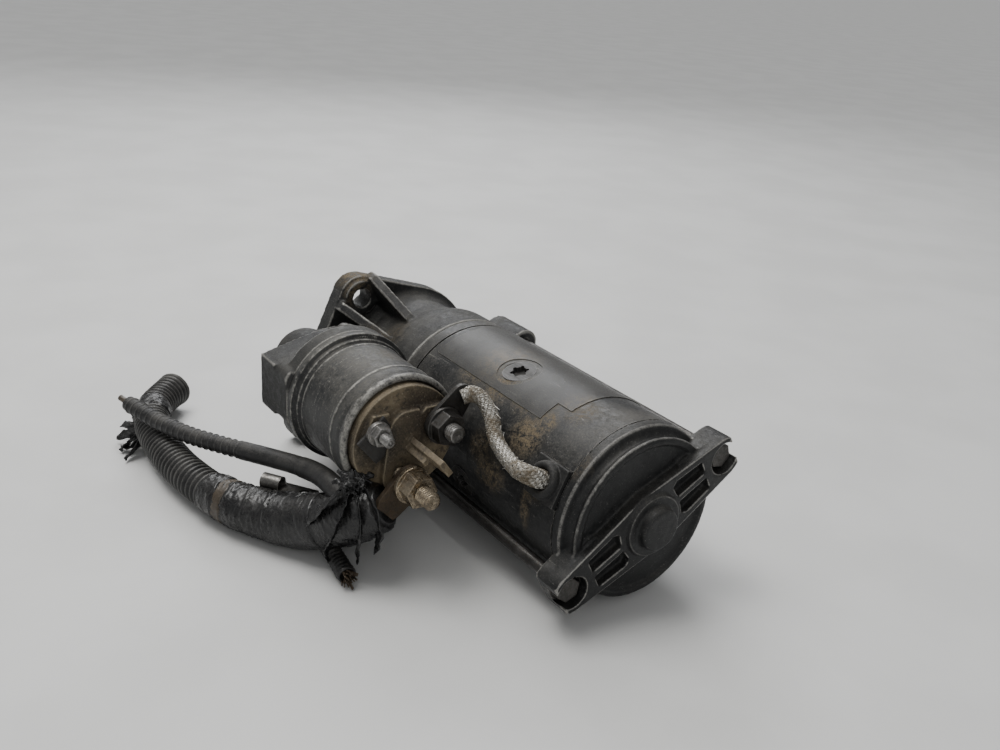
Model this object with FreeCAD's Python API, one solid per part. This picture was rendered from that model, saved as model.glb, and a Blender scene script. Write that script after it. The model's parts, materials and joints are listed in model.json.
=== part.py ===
import FreeCAD, Part
import math
import os

# Reduction-gear starter motor with a piggyback solenoid and a cut-off battery harness.
# Frame: +X runs along the motor shaft towards the pinion, +Y towards the solenoid, +Z up.
# Origin: on the shaft axis, at the mounting flange's mating face.
# Stations along the shaft are written as u, counted from the rear edge of the yoke; x = u - FLANGE_U.

V = FreeCAD.Vector
os.makedirs("parts", exist_ok=True)

# ---------------------------------------------------------------- driving dimensions, mm
FLANGE_U = 195.0          # mating face of the mounting flange, from the yoke's rear edge
YOKE_R = 40.0             # yoke outside radius
YOKE_RI = 36.4            # yoke inside radius
YOKE_L = 128.0            # yoke length
FLOOR_Z = -40.0           # the surface the motor lies on
BOLT_PCR = 44.0           # through-bolt circle radius
BOLT_ANG = (28.4, 208.4)  # through-bolt angles, seen from the rear, from the right, counter-clockwise
BOLT_R = 2.95             # M6 shank
SCREW_ANG = (16.0, 106.0, 196.0, 286.0)
SCREW_U = 67.0            # station of the pole screws
GROM_ANG = 155.0          # lead grommet angle
GROM_U = 9.0
SOL_Y, SOL_Z = 70.2, 18.05   # solenoid axis
SOL_R = 27.5              # solenoid can radius
SOL_U0, SOL_U1 = 69.0, 117.0
AX_D = math.hypot(SOL_Y, SOL_Z)
EAR_HOLE_R = 5.0
EARS = ((29.6, 38.4), (58.0, -28.5), (-50.0, -28.5))   # flange hole centres (y, z)
EAR_R = 11.5
FLANGE_T = 10.0
PILOT_R = 38.0
PILOT_L = 10.0
GEAR_M = 1.25             # planetary module
Z_SUN, Z_PLANET, Z_RING = 11, 13, 37
GEAR_C = 15.0             # sun to planet centre distance
TRAVEL = 12.0             # pinion travel
PIVOT_S = 40.0            # lever pivot, from the shaft axis towards the solenoid
PIVOT_U = 168.8
SWING = 0.15              # half of the lever's swing, radians


def X(u):
    return u - FLANGE_U


def tidy(s):
    # merge split faces on a copy, and keep the result only where every solid stays sound
    vol, count = s.Volume, len(s.Solids)
    try:
        t = s.copy().removeSplitter()
        if len(t.Solids) == count and all(q.isValid() for q in t.Solids) and abs(t.Volume - vol) < 1e-4 * abs(vol) + 1e-6:
            return t
    except Exception:
        pass
    return s


ES = V(0, SOL_Y / AX_D, SOL_Z / AX_D)       # from the shaft axis to the solenoid axis
EH = V(0, -SOL_Z / AX_D, SOL_Y / AX_D)      # across it: the lever's hinge direction


def polar(r, ang):
    a = math.radians(ang)
    return -r * math.cos(a), r * math.sin(a)


def radial(ang):
    a = math.radians(ang)
    return V(0, -math.cos(a), math.sin(a))


def cyl(u0, u1, r, y=0.0, z=0.0):
    return Part.makeCylinder(r, u1 - u0, V(X(u0), y, z), V(1, 0, 0))


def tube(u0, u1, ro, ri, y=0.0, z=0.0):
    return cyl(u0, u1, ro, y, z).cut(cyl(u0 - 1, u1 + 1, ri, y, z))


def rev(pts, y=0.0, z=0.0, ang0=0.0, span=360.0):
    # solid of revolution about the X line through (y, z); pts are (u, r)
    w = Part.makePolygon([V(X(u), y, z + r) for u, r in pts] + [V(X(pts[0][0]), y, z + pts[0][1])])
    s = Part.Face(w)
    if ang0:
        s.rotate(V(0, y, z), V(1, 0, 0), ang0)
    return s.revolve(V(0, y, z), V(1, 0, 0), span)


def sector(u0, u1, ri, ro, a0, a1):
    # part of a ring between two angles, angles as seen from the rear
    w = Part.makePolygon([V(X(u0), 0, ri), V(X(u1), 0, ri), V(X(u1), 0, ro), V(X(u0), 0, ro), V(X(u0), 0, ri)])
    f = Part.Face(w)
    # a point at +Z is at 90 degrees; a positive turn about X takes +Z towards -Y, which lowers the angle
    f.rotate(V(0, 0, 0), V(1, 0, 0), 90.0 - a1)
    return f.revolve(V(0, 0, 0), V(1, 0, 0), a1 - a0)


def box(u0, u1, y0, y1, z0, z1):
    return Part.makeBox(u1 - u0, y1 - y0, z1 - z0, V(X(u0), y0, z0))


def prism_yz(pts, u0, u1):
    w = Part.makePolygon([V(X(u0), y, z) for y, z in pts] + [V(X(u0), pts[0][0], pts[0][1])])
    return Part.Face(w).extrude(V(u1 - u0, 0, 0))


def hexagon(u0, u1, af, y, z, rot=0.0):
    r = af / math.sqrt(3)
    return prism_yz([(y + r * math.cos(math.radians(rot + 60 * i)), z + r * math.sin(math.radians(rot + 60 * i)))
                     for i in range(6)], u0, u1)


def hull_yz(circles, u0, u1):
    # convex outline round circles (y, z, r): arcs joined by their common tangents
    def top(ang):
        ca, sa = math.cos(ang), math.sin(ang)
        return max(range(len(circles)), key=lambda i: circles[i][0] * ca + circles[i][1] * sa + circles[i][2])
    N = 1440
    turns, prev = [], top(-1e-4)
    for k in range(N):
        ang = 2 * math.pi * (k + 1) / N - 1e-4
        cur = top(ang)
        if cur != prev:
            (y0, z0, r0), (y1, z1, r1) = circles[prev], circles[cur]
            d = math.hypot(y1 - y0, z1 - z0)
            base = math.atan2(z1 - z0, y1 - y0)
            off = math.acos((r0 - r1) / d)
            best = min((base + off, base - off), key=lambda t: abs(math.atan2(math.sin(t - ang), math.cos(t - ang))))
            turns.append((best, prev, cur))
            prev = cur
    if not turns:
        y, z, r = circles[prev]
        return cyl(u0, u1, r, y, z)

    def pt(i, ang):
        y, z, r = circles[i]
        return V(X(u0), y + r * math.cos(ang), z + r * math.sin(ang))
    edges = []
    for k, (ang, i, j) in enumerate(turns):
        nxt = turns[(k + 1) % len(turns)][0]
        edges.append(Part.LineSegment(pt(i, ang), pt(j, ang)).toShape())
        while nxt < ang:
            nxt += 2 * math.pi
        while nxt - ang > 2 * math.pi:
            nxt -= 2 * math.pi
        edges.append(Part.Arc(pt(j, ang), pt(j, (ang + nxt) / 2), pt(j, nxt)).toShape())
    return Part.Face(Part.Wire(edges)).extrude(V(u1 - u0, 0, 0))


def local(s, h, u):
    # point at distance s towards the solenoid and h across, at station u
    return V(X(u), 0, 0) + ES * s + EH * h


def block(u0, u1, s0, s1, h0, h1):
    # box in the lever's own axes
    w = Part.makePolygon([local(s0, h0, u0), local(s1, h0, u0), local(s1, h1, u0), local(s0, h1, u0), local(s0, h0, u0)])
    return Part.Face(w).extrude(V(u1 - u0, 0, 0))


def plate_us(pts, h0, h1):
    # outline in (u, s), thickness across
    w = Part.makePolygon([local(s, h0, u) for u, s in pts] + [local(pts[0][1], h0, pts[0][0])])
    return Part.Face(w).extrude(EH * (h1 - h0))


def pin_h(u, s, r, h0, h1):
    return Part.makeCylinder(r, h1 - h0, local(s, h0, u), EH)


def involute_gear(z, m, u0, u1, add, ded, thin, phase, internal=False, y=0.0, zc=0.0, ro=None, bore=None):
    # spur gear with involute flanks; phase is the angle of one tooth's centre from +Z, in radians,
    # counted so that a positive angle turns +Z towards -Y
    rp = m * z / 2.0
    rb = rp * math.cos(math.radians(20))
    ra, rf = rp + add, rp - ded
    inv20 = math.tan(math.radians(20)) - math.radians(20)
    half = math.pi / (2 * z) + (thin / rp if internal else -thin / rp)

    def half_angle(r):
        if r <= rb:
            return half + inv20
        al = math.acos(rb / r)
        return half + inv20 - (math.tan(al) - al)

    radii = [rf] + [max(rf, min(rb, rp)) + (ra - max(rf, min(rb, rp))) * k / 4.0 for k in range(0, 5)]
    if radii[1] - radii[0] < 0.02:
        radii = radii[1:]
    pts = []
    for i in range(z):
        c = phase + 2 * math.pi * i / z
        for r in radii:
            a = c - half_angle(r)
            pts.append((r, a))
        for r in reversed(radii):
            a = c + half_angle(r)
            pts.append((r, a))
    yz = [(y - r * math.sin(a), zc + r * math.cos(a)) for r, a in pts]
    g = prism_yz(yz, u0, u1)
    if internal:
        return cyl(u0, u1, ro, y, zc).cut(g)
    if bore:
        g = g.cut(cyl(u0 - 1, u1 + 1, bore, y, zc))
    return g


def route_wire(pts, name=None, dia=1.0, radii=None):
    # straight runs joined by tangent arcs
    P = [V(*p) for p in pts]
    edges, cur, info = [], P[0], []
    for i in range(1, len(P) - 1):
        a = (P[i - 1] - P[i])
        b = (P[i + 1] - P[i])
        la, lb = a.Length, b.Length
        a.normalize()
        b.normalize()
        turn = math.pi - a.getAngle(b)
        rad = 0.45 * min(la, lb) / math.tan(turn / 2)
        if radii and radii.get(i):
            rad = min(rad, radii[i])
        t = rad * math.tan(turn / 2)
        p0, p1 = P[i] + a * t, P[i] + b * t
        bis = (a + b)
        bis.normalize()
        cen = P[i] + bis * (rad / math.cos(turn / 2))
        mid = cen - bis * rad
        if (p0 - cur).Length > 1e-6:
            edges.append(Part.LineSegment(cur, p0).toShape())
        edges.append(Part.Arc(p0, mid, p1).toShape())
        info.append((i, round(rad, 1), round(rad / dia, 1), round(math.degrees(turn))))
        cur = p1
    edges.append(Part.LineSegment(cur, P[-1]).toShape())
    if name:
        print(name, "point, radius, in diameters, turn:", info)
    return Part.Wire(edges)


def route_tube(pts, r, name, r_in=None, radii=None):
    w = route_wire(pts, name, 2 * r, radii)
    d = (V(*pts[1]) - V(*pts[0]))
    prof = Part.Wire(Part.makeCircle(r, V(*pts[0]), d))
    s = w.makePipeShell([prof], True, False)
    if s.ShapeType != "Solid":
        s = Part.Solid(s) if s.ShapeType == "Shell" else s.Solids[0]
    if s.Volume < 0:
        s.reverse()
    want = math.pi * r * r * w.Length
    print(name, "length", round(w.Length, 1), "volume", round(s.Volume), "section x length", round(want), s.isValid())
    return s


NODES = {}


def put(name, *solids):
    out = []
    for s in solids:
        out.extend(tidy(s).Solids)
    NODES[name] = out


# ---------------------------------------------------------------- yoke and what it holds
yoke = tube(0, YOKE_L, YOKE_R, YOKE_RI)
yoke = yoke.cut(tube(119.2, 120.4, YOKE_R + 1, YOKE_R - 0.7))           # step band behind the front joint
yoke = yoke.cut(tube(126.8, 129, YOKE_R + 1, YOKE_R - 0.8))
screws = []
for a in SCREW_ANG:
    d = radial(a)
    p = V(X(SCREW_U), 0, 0)
    cone = Part.makeCone(7.75, 4.3, 3.35, p + d * 39.75, d * -1)
    neck = Part.makeCylinder(4.0, 10.9, p + d * 28.5, d)
    head = cone.fuse(neck)
    star = Part.makeCylinder(3.4, 3.0, p + d * 37.2, d)
    for k in range(6):
        off = Part.makeCylinder(0.95, 3.0, p + d * 37.2 + V(1, 0, 0) * 3.5, d)
        off.rotate(p, d, 60 * k)
        star = star.fuse(off)
    screws.append(head.cut(star))
    yoke = yoke.cut(Part.makeCone(8.35, 4.4, 3.9, p + d * 40.25, d * -1)).cut(Part.makeCylinder(4.3, 9, p + d * 33, d))
dg = radial(GROM_ANG)
tg = V(0, math.sin(math.radians(GROM_ANG)), math.cos(math.radians(GROM_ANG)))    # along the skin, across the notch


def gbox(u0, u1, w, r0, r1):
    # block across the grommet's direction, w wide, between two radii
    c = V(X(u0), 0, 0) + dg * r0 - tg * (w / 2)
    f = Part.Face(Part.makePolygon([c, c + tg * w, c + tg * w + dg * (r1 - r0), c + dg * (r1 - r0), c]))
    return f.extrude(V(u1 - u0, 0, 0))


yoke = yoke.cut(gbox(-1, 19.4, 17.4, 30, 46))
put("yoke", yoke)
put("pole_screws", *screws)

plate = sector(24, 115, YOKE_R, YOKE_R + 0.35, 30, 127)
plate = plate.cut(Part.makeCylinder(10.5, 10, V(X(SCREW_U), 0, 0) + radial(106) * 36, radial(106)))
plate = plate.cut(sector(23, 33, YOKE_R - 1, YOKE_R + 2, 112, 130))
put("nameplate", plate)

shoes, coils = [], []
for a in SCREW_ANG:
    core = sector(38, 96, 30.2, YOKE_RI, a - 17, a + 17)
    horn = sector(38, 96, 27.8, 30.4, a - 34, a + 34)
    s = core.fuse(horn).cut(Part.makeCylinder(4.0, 14, V(X(SCREW_U), 0, 0) + radial(a) * 27.8, radial(a)))
    shoes.append(tidy(s))
    c = sector(31, 103, 30.7, 36.1, a - 38, a + 38).cut(sector(37.6, 96.4, 29, 38, a - 17.8, a + 17.8))
    coils.append(c)
put("pole_shoes", *shoes)
put("field_coils", *coils)

# rubber grommet in the yoke's rear edge
grom = gbox(0.3, 19.0, 17.0, 35.2, 41.4)
grom = grom.fuse(Part.makeCylinder(8.0, 2.2, V(X(GROM_U + 0.6), 0, 0) + dg * 41.0, dg))
ring = Part.makeTorus(6.2, 1.7, V(X(GROM_U + 0.6), 0, 0) + dg * 43.2, dg)
grom = grom.fuse(ring)
grom = grom.cut(Part.makeCylinder(4.35, 16, V(X(GROM_U + 0.6), 0, 0) + dg * 33, dg))
put("lead_grommet", grom)

# ---------------------------------------------------------------- rear cover
prof = [(4.0, 33.4), (4.0, YOKE_RI - 0.1), (0, YOKE_RI - 0.1), (0, YOKE_R), (-2.6, 39.9), (-4.6, 39.7), (-5.4, 38.7), (-5.9, 37.0),
        (-6.9, 35.8), (-8.2, 35.3), (-9.2, 35.6), (-9.8, 36.4), (-10.6, 36.8), (-11.4, 36.5), (-11.9, 35.5), (-11.9, 33.8), (-10.4, 32.8),
        (-10.4, 0), (-4.5, 0), (-4.5, 10.5),
        (-8.4, 10.5), (-8.4, 29.2), (-1.5, 33.4)]
cover = rev(prof)
bolts_yz = [polar(BOLT_PCR, a) for a in BOLT_ANG]
ped = hull_yz([(0, 0, 15.0)] + [(y, z, 9.8) for y, z in bolts_yz], -15.8, -9.4)
cover = cover.fuse(ped)
for y, z in bolts_yz:
    cover = cover.fuse(hull_yz([(y, z, 9.4), (y * 0.6, z * 0.6, 13.0)], -12, -2.2))
    cover = cover.fuse(cyl(-15.8, -2.2, 9.8, y, z))
cover = cover.fuse(rev([(-15.2, 0), (-15.2, 14.4), (-17.6, 13.8), (-18.1, 13.2), (-18.1, 9.9), (-21.4, 9.4), (-22.2, 8.6), (-22.2, 0)]))
cover = cover.cut(gbox(0.0, 20, 18.4, 30, 46))
cover = cover.cut(cyl(-19.4, 0, 7.0))
# cast pockets, two on each side of the boss
bx, bz = polar(1.0, BOLT_ANG[0])
nx, nz = -bz, bx                       # across the line of the two bolts
for sgn in (1, -1):
    for side in (1, -1):
        q = []
        for (l, w) in ((16.4, 1.5), (32.4, 1.5), (32.4, 8.0), (18.2, 9.4), (15.4, 7.8)):
            q.append((sgn * l * bx + side * w * nx, sgn * l * bz + side * w * nz))
        cover = cover.cut(prism_yz(q, -16.6, -11.9))
for y, z in bolts_yz:
    r = math.hypot(y, z)
    oy, oz = y / r, z / r
    cover = cover.cut(cyl(-21, -8.0, 7.4, y, z))
    cover = cover.cut(cyl(-9, -1, BOLT_R + 0.25, y, z))
    ty, tz = -oz, oy
    q = [(y + ty * 4.4, z + tz * 4.4), (y + oy * 14 + ty * 4.4, z + oz * 14 + tz * 4.4),
         (y + oy * 14 - ty * 4.4, z + oz * 14 - tz * 4.4), (y - ty * 4.4, z - tz * 4.4)]
    cover = cover.cut(prism_yz(q, -21, -11.6))
    # the ear ends in a flat just past the bolt head
    q = [(oy * r + ty * t, oz * r + tz * t) for r, t in ((50.2, 14), (64, 14), (64, -14), (50.2, -14))]
    cover = cover.cut(prism_yz(q, -30, 3))
put("rear_cover", cover)
put("rear_bush", tube(-18.4, -6.4, 7.0, 5.05))

tb = []
for (y, z), rot in zip(bolts_yz, (12, 40)):
    b = cyl(-8, 152, BOLT_R, y, z).fuse(cyl(-9.6, -8, 6.6, y, z)).fuse(hexagon(-13.4, -9.2, 10, y, z, rot))
    tb.append(b)
put("through_bolts", *tb)

# ---------------------------------------------------------------- armature


def spoke(u0, u1, ang, w, r0, r1):
    # bar along a radius, w wide, between two radii
    (ay, az), (by, bz2) = polar(r0, ang), polar(r1, ang)
    a = math.radians(ang)
    ty, tz = math.sin(a) * w / 2, math.cos(a) * w / 2
    return prism_yz([(ay - ty, az - tz), (ay + ty, az + tz), (by + ty, bz2 + tz), (by - ty, bz2 - tz)], u0, u1)


core_arm = tube(39, 95, 27.0, 8.0).cut([spoke(38, 96, 20.0 * k, 2.6, 21.8, 28.0) for k in range(18)])
put("armature_core", core_arm)
w = tube(29.0, 38.9, 26.0, 15.5).fuse(tube(95.1, 106, 26.0, 10.0))
w = w.fuse([spoke(38.5, 95.5, 20.0 * k, 2.44, 21.95, 25.9) for k in range(18)])
put("armature_windings", w)
comm = tube(5, 28.9, 17.0, 8.0).fuse(tube(25.5, 28.9, 19.5, 8.0))
for k in range(18):
    comm = comm.cut(spoke(4, 29.5, 20 * k + 10.0, 0.6, 15.6, 20.5))
put("commutator", comm)

# brush gear: four brushes between the poles
bp = tube(5.8, 7.8, 33.4, 19.4)
brushes, bsprings, holders = [], [], None
for k in range(4):
    a = 61.0 + 90 * k
    d = radial(a)
    t = V(0, math.sin(math.radians(a)), math.cos(math.radians(a)))

    def rb(u0, u1, w, r0, r1, sh=0.0):
        c = V(X(u0), 0, 0) + d * r0 - t * (w / 2) + t * sh
        return Part.Face(Part.makePolygon([c, c + t * w, c + t * w + d * (r1 - r0), c + d * (r1 - r0), c])).extrude(V(u1 - u0, 0, 0))
    br = rb(9.4, 20.0, 8.0, 16.0, 27.0).cut(cyl(0, 30, 17.04))
    brushes.append(br)
    wall = rb(7.0, 21.2, 10.4, 19.9, 31.0).cut(rb(9.3, 20.1, 8.2, 18, 30.0))
    bp = bp.fuse(wall)
    sp = None
    for j in range(3):
        c = V(X(14.7), 0, 0) + d * (27.35 + 0.9 * j)
        outer = Part.makePolygon([c + V(1, 0, 0) * (2.9 * math.cos(math.pi * q / 8)) + t * (2.9 * math.sin(math.pi * q / 8)) for q in range(17)])
        inner = Part.makePolygon([c + V(1, 0, 0) * (2.3 * math.cos(math.pi * q / 8)) + t * (2.3 * math.sin(math.pi * q / 8)) for q in range(17)])
        ring = Part.Face(outer).extrude(d * 0.55).cut(Part.Face(inner).extrude(d * 0.55))
        sp = ring if sp is None else sp.fuse(ring)
    sp = sp.fuse(Part.Face(Part.makePolygon([V(X(14.7) + u, 0, 0) + t * w + d * 27.35 for (u, w) in ((2.35, -0.3), (2.8, -0.3), (2.8, 0.3), (2.35, 0.3), (2.35, -0.3))])).extrude(d * 2.35))
    bsprings.append(sp)
bp = bp.cut(gbox(-0.2, 8.5, 18.4, 28.5, 46))
put("brush_plate", bp)
put("brushes", *brushes)
put("brush_springs", *bsprings)

# ---------------------------------------------------------------- reduction gear
bulk = cyl(123.5, 127.6, YOKE_RI - 0.05).cut(cyl(120, 130, 7.0)).fuse(tube(119.5, 124, 12, 8.9)).cut(cyl(115, 121.4, 8.9))
bulk = bulk.cut(cyl(115, 130, 7.0))
put("bulkhead_plate", bulk)
put("bulkhead_bush", tube(121.6, 127.6, 7.0, 5.05))
ring_phase = 0.0
sun_tooth = 0.0           # tooth centre angle of the sun, towards the first planet
# first planet sits straight up; the sun has a tooth gap-centre relation set so that teeth mesh
sun = involute_gear(Z_SUN, GEAR_M, 128.8, 141.6, 0.8 * GEAR_M, 1.22 * GEAR_M, 0.10, 0.0)
put("armature_shaft", cyl(-17.9, 8.2, 5.0).fuse([cyl(8, 120, 8.0), cyl(119, 129.5, 5.0), sun]))


def planet(k):
    th = 2 * math.pi * k / 3.0
    py, pz = -GEAR_C * math.sin(th), GEAR_C * math.cos(th)
    # sun tooth pitch phase at the line of centres, carried to the planet
    n = (th - 0.0) * Z_SUN / (2 * math.pi)
    frac = n - math.floor(n)
    # on the sun, the contact line is frac of a pitch past a tooth centre; the planet needs the
    # matching position of a gap, seen from its own centre (turned by 180 degrees and mirrored)
    ph = th + math.pi + (2 * math.pi / Z_PLANET) * (frac + 0.5)
    g = involute_gear(Z_PLANET, GEAR_M, 129.2, 141.2, 0.8 * GEAR_M, 1.2 * GEAR_M, 0.10, ph, y=py, zc=pz, bore=4.05)
    return g, py, pz, ph


planets, pyz = [], []
for k in range(3):
    g, py, pz, ph = planet(k)
    planets.append(g)
    pyz.append((py, pz))
    put("planet_gear_%d" % (k + 1), g)
# the ring's tooth gap must face the planet's outer tooth; for the planet straight up
ph0 = math.pi + (2 * math.pi / Z_PLANET) * 0.5
q = (0.0 - ph0) * Z_PLANET / (2 * math.pi)
frac0 = q - math.floor(q)                 # how far past a planet tooth centre the outer line lies, in pitches
ring_cut_phase = -frac0 * 2 * math.pi / Z_RING
ring = involute_gear(Z_RING, GEAR_M, 128.4, 142.4, 1.25 * GEAR_M, 0.58 * GEAR_M, 0.10, ring_cut_phase, internal=True, ro=36.0)
put("ring_gear", ring)
pins = [cyl(128.9, 147.4, 4.0, y, z) for y, z in pyz]
put("planet_pins", *pins)
shaft = rev([(143.0, 0), (143.0, 21.5), (147.6, 21.5), (147.6, 9.0), (153.8, 9.0), (153.8, 8.55), (180.5, 8.55), (180.5, 6.5), (205, 6.5), (206, 5.8), (206, 0)])
shaft = shaft.cut([sector(154.6, 181, 7.0, 9.2, 45.0 * k + 11.0, 45.0 * k + 34.0) for k in range(8)])
for y, z in pyz:
    shaft = shaft.cut(cyl(142, 148.6, 4.0, y, z))
put("output_shaft", shaft)
support = tube(148.2, 153.6, 30.4, 11.0).fuse(tube(148.2, 149.6, 34.2, 11.0))
put("centre_support", support)
put("centre_bush", tube(148.2, 153.6, 11.0, 9.05))

# ---------------------------------------------------------------- clutch and pinion
sleeve = rev([(157.0, 7.08), (157.0, 13.0), (159.0, 13.0), (159.0, 10.4), (166.6, 10.4), (166.6, 13.0), (168.9, 13.0), (168.9, 20.0),
              (171.0, 20.0), (171.0, 7.08)])
sleeve = sleeve.cut([sector(156, 172, 6.5, 8.65, 45.0 * k - 11.8, 45.0 * k + 11.8) for k in range(8)])
put("drive_sleeve", sleeve)
shell = rev([(171.0, 13.5), (171.0, 22.5), (188.0, 22.5), (188.0, 10.3), (186.0, 10.3), (186.0, 13.5)])
shell = shell.cut([cyl(173.0, 186.0, 2.9, *polar(16.2, 60.0 * k)) for k in range(6)])
put("clutch_shell", shell)
put("clutch_rollers", *[cyl(173.4, 185.6, 2.72, *polar(16.2, 60.0 * k)) for k in range(6)])
psl = rev([(173.4, 9.4), (173.4, 13.3), (185.4, 13.3), (185.4, 9.9), (215.4, 9.9), (215.4, 11.6), (216.6, 11.6), (216.6, 8.0), (233.0, 8.0),
           (233.0, 6.56), (182.0, 6.56), (182.0, 9.4)])
put("pinion_sleeve", psl)
pin_g = involute_gear(11, 2.54, 216.6, 232.0, 2.3, 2.9, 0.12, 0.0, bore=8.0)
cham = rev([(216.0, 0), (216.0, 17.5), (230.2, 17.5), (232.6, 14.2), (232.6, 0)])
put("pinion", pin_g.common(cham))
put("stop_ring", tube(232.0, 233.4, 9.6, 8.0).cut(box(231, 234, -1.2, 1.2, 0, 12)))
put("nose_bearing", tube(202.5, 213.4, 13.2, 9.95))

# ---------------------------------------------------------------- drive-end housing
F = FLANGE_U
body = rev([(128, 0), (128, 40.0), (146.5, 40.0), (150.5, 39.2), (156, 37.2), (166, 35.2), (178, 34.6), (183, 36.6), (186, 39.5), (186, 0)])
flange = hull_yz([(0, 0, 39.9)] + [(y, z, EAR_R) for y, z in EARS], F - FLANGE_T, F)
house = body.fuse(flange)
house = house.fuse(cyl(F - 1, F + PILOT_L, PILOT_R)).fuse(cyl(F + PILOT_L - 1, 214.0, 17.5))
# lever chamber between the body and the solenoid, and the plunger chamber
house = house.fuse(plate_us([(140, 20), (179.5, 20), (179.5, 52), (168.0, AX_D - 4), (140, AX_D - 4)], -14.5, 14.5))
house = house.fuse(rev([(124, 0), (124, 21.5), (134, 21.5), (150, 15.8), (169.0, 14.8), (170.4, 13.4), (170.4, 0)], SOL_Y, SOL_Z)).fuse(cyl(SOL_U1, 125.5, 31.0, SOL_Y, SOL_Z))
# solenoid side lug, outward
house = house.fuse(box(131, 146, SOL_Y + 18, SOL_Y + 31, SOL_Z - 10, SOL_Z + 15)).fuse(hull_yz([(SOL_Y + 26, SOL_Z - 6, 5.0), (SOL_Y + 26, SOL_Z + 11, 5.0), (SOL_Y, SOL_Z, 22.0)], 118, 146))
# through-bolt lugs
for y, z in bolts_yz:
    house = house.fuse(hull_yz([(y, z, 7.8), (y * 0.6, z * 0.6, 10.0)], 128, 154))
# gussets from the upper ear back to the body
ey, ez = EARS[0]


def rib(y0, z0, y1, z1, u_back, u_front, t, r_in):
    # triangular web in the plane through the shaft axis: tall at the flange, low at the back
    d = V(0, y0, z0)
    L = d.Length
    d.normalize()
    n = V(0, -d.z, d.y)
    a = V(X(u_back), 0, 0) + d * r_in - n * (t / 2)
    w = Part.makePolygon([a, V(X(u_front), 0, 0) + d * r_in - n * (t / 2), V(X(u_front), 0, 0) + d * L - n * (t / 2),
                          V(X(u_front - 6), 0, 0) + d * L - n * (t / 2), V(X(u_back), 0, 0) + d * (r_in + 6) - n * (t / 2), a])
    return Part.Face(w).extrude(n * t)




def dirpt(y, z, off, length):
    # point at a distance from the axis, on a line turned so that it passes off to one side of (y, z)
    r = math.hypot(y, z)
    a = math.atan2(z, y) + math.asin(off / r)
    return length * math.cos(a), length * math.sin(a)


for off in (-10.0, 10.0):
    yy, zz = dirpt(ey, ez, off, 56.0)
    house = house.fuse(rib(yy, zz, 0, 0, 148, 187, 5.0, 30))
for (y, z, off) in ((EARS[1][0], EARS[1][1], 11.5), (EARS[2][0], EARS[2][1], -11.5)):
    yy, zz = dirpt(y, z, off, 60.0)
    house = house.fuse(rib(yy, zz, 0, 0, 158, 187, 6.0, 30))
# ear bosses
for y, z in EARS:
    house = house.fuse(cyl(F - FLANGE_T - 2.5, F, 9.6, y, z))
# hollows
house = house.cut(cyl(127, 147.4, 36.05))
house = house.cut(cyl(146, 149.6, 34.2)).cut(cyl(149, 153.6, 30.4)).cut(cyl(153, 201.0, 30.0))
house = house.cut(cyl(200, 202.5, 11.5)).cut(cyl(202.5, 215, 13.2))
house = house.cut(rev([(SOL_U1 - 1, 0), (SOL_U1 - 1, 18.0), (133, 18.0), (149, 12.7), (167.8, 12.2), (167.8, 0)], SOL_Y, SOL_Z))
house = house.cut(plate_us([(150, 15), (176.5, 15), (176.5, 49), (170, 58), (165.6, 64), (150, 64)], -10.4, 10.4))
house = house.cut(block(148.4, 167.6, 54, AX_D + 5.5, -10.4, 10.4))
for y, z in EARS:
    house = house.cut(cyl(F - FLANGE_T - 4, F + 1, EAR_HOLE_R, y, z))
for y, z in bolts_yz:
    house = house.cut(cyl(127, 152, BOLT_R, y, z))
# pilot relief and screw holes
SCR = [(SOL_Y + 25.4 * math.cos(math.radians(a)), SOL_Z + 25.4 * math.sin(math.radians(a))) for a in (98, 243, 308)]
for y, z in SCR:
    house = house.fuse(cyl(SOL_U1, 127.5, 5.6, y, z))
house = house.cut(rev([(SOL_U1 - 1, 0), (SOL_U1 - 1, 18.0), (133, 18.0), (149, 12.7), (167.8, 12.2), (167.8, 0)], SOL_Y, SOL_Z))
for y, z in SCR:
    house = house.cut(cyl(SOL_U1 - 1, 128, 2.6, y, z))
house = house.cut(pin_h(PIVOT_U, PIVOT_S, 3.0, -15.5, 15.5))
put("lever_pin", pin_h(PIVOT_U, PIVOT_S, 3.0, -15.2, 15.2))

# ---------------------------------------------------------------- shift lever, built mid-swing, then turned back to rest
lev = block(PIVOT_U - 2.4, PIVOT_U + 2.4, 20.5, 36.0, -6.2, 6.2)
lev = lev.fuse(block(PIVOT_U - 2.4, PIVOT_U + 2.4, 19.5, 23.5, -16.6, 16.6))
for sg in (1, -1):
    h0, h1 = (13.5, 16.6) if sg > 0 else (-16.6, -13.5)
    lev = lev.fuse(block(PIVOT_U - 2.4, PIVOT_U + 2.4, 0, 20, h0, h1))
    lev = lev.fuse(pin_h(PIVOT_U, 0, 3.4, h0, h1))
    p0, p1 = (11.0, 14.0) if sg > 0 else (-14.0, -11.0)
    lev = lev.fuse(pin_h(PIVOT_U, 0, 3.4, p0, p1))
lev = lev.fuse(pin_h(PIVOT_U, PIVOT_S, 6.4, -8.0, 8.0))
lev = lev.fuse(plate_us([(PIVOT_U - 4.5, 35), (PIVOT_U + 4.5, 35), (PIVOT_U + 4.5, 43), (PIVOT_U - 9.0, AX_D - 11.0), (PIVOT_U - 12.1, AX_D - 9.0),
                         (PIVOT_U - 12.1, AX_D), (PIVOT_U - 15.9, AX_D), (PIVOT_U - 15.9, AX_D - 11.0)], -3.8, 3.8))
lev = lev.cut(pin_h(PIVOT_U, PIVOT_S, 3.05, -12, 12))
# round tongue that sits in the plunger's slot
tongue = pin_h(PIVOT_U - 14.0, AX_D, 3.0, -3.8, 3.8)
lev = lev.fuse(tongue)
lev.rotate(local(PIVOT_S, 0, PIVOT_U), EH, -math.degrees(SWING))
put("shift_lever", lev)

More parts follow.
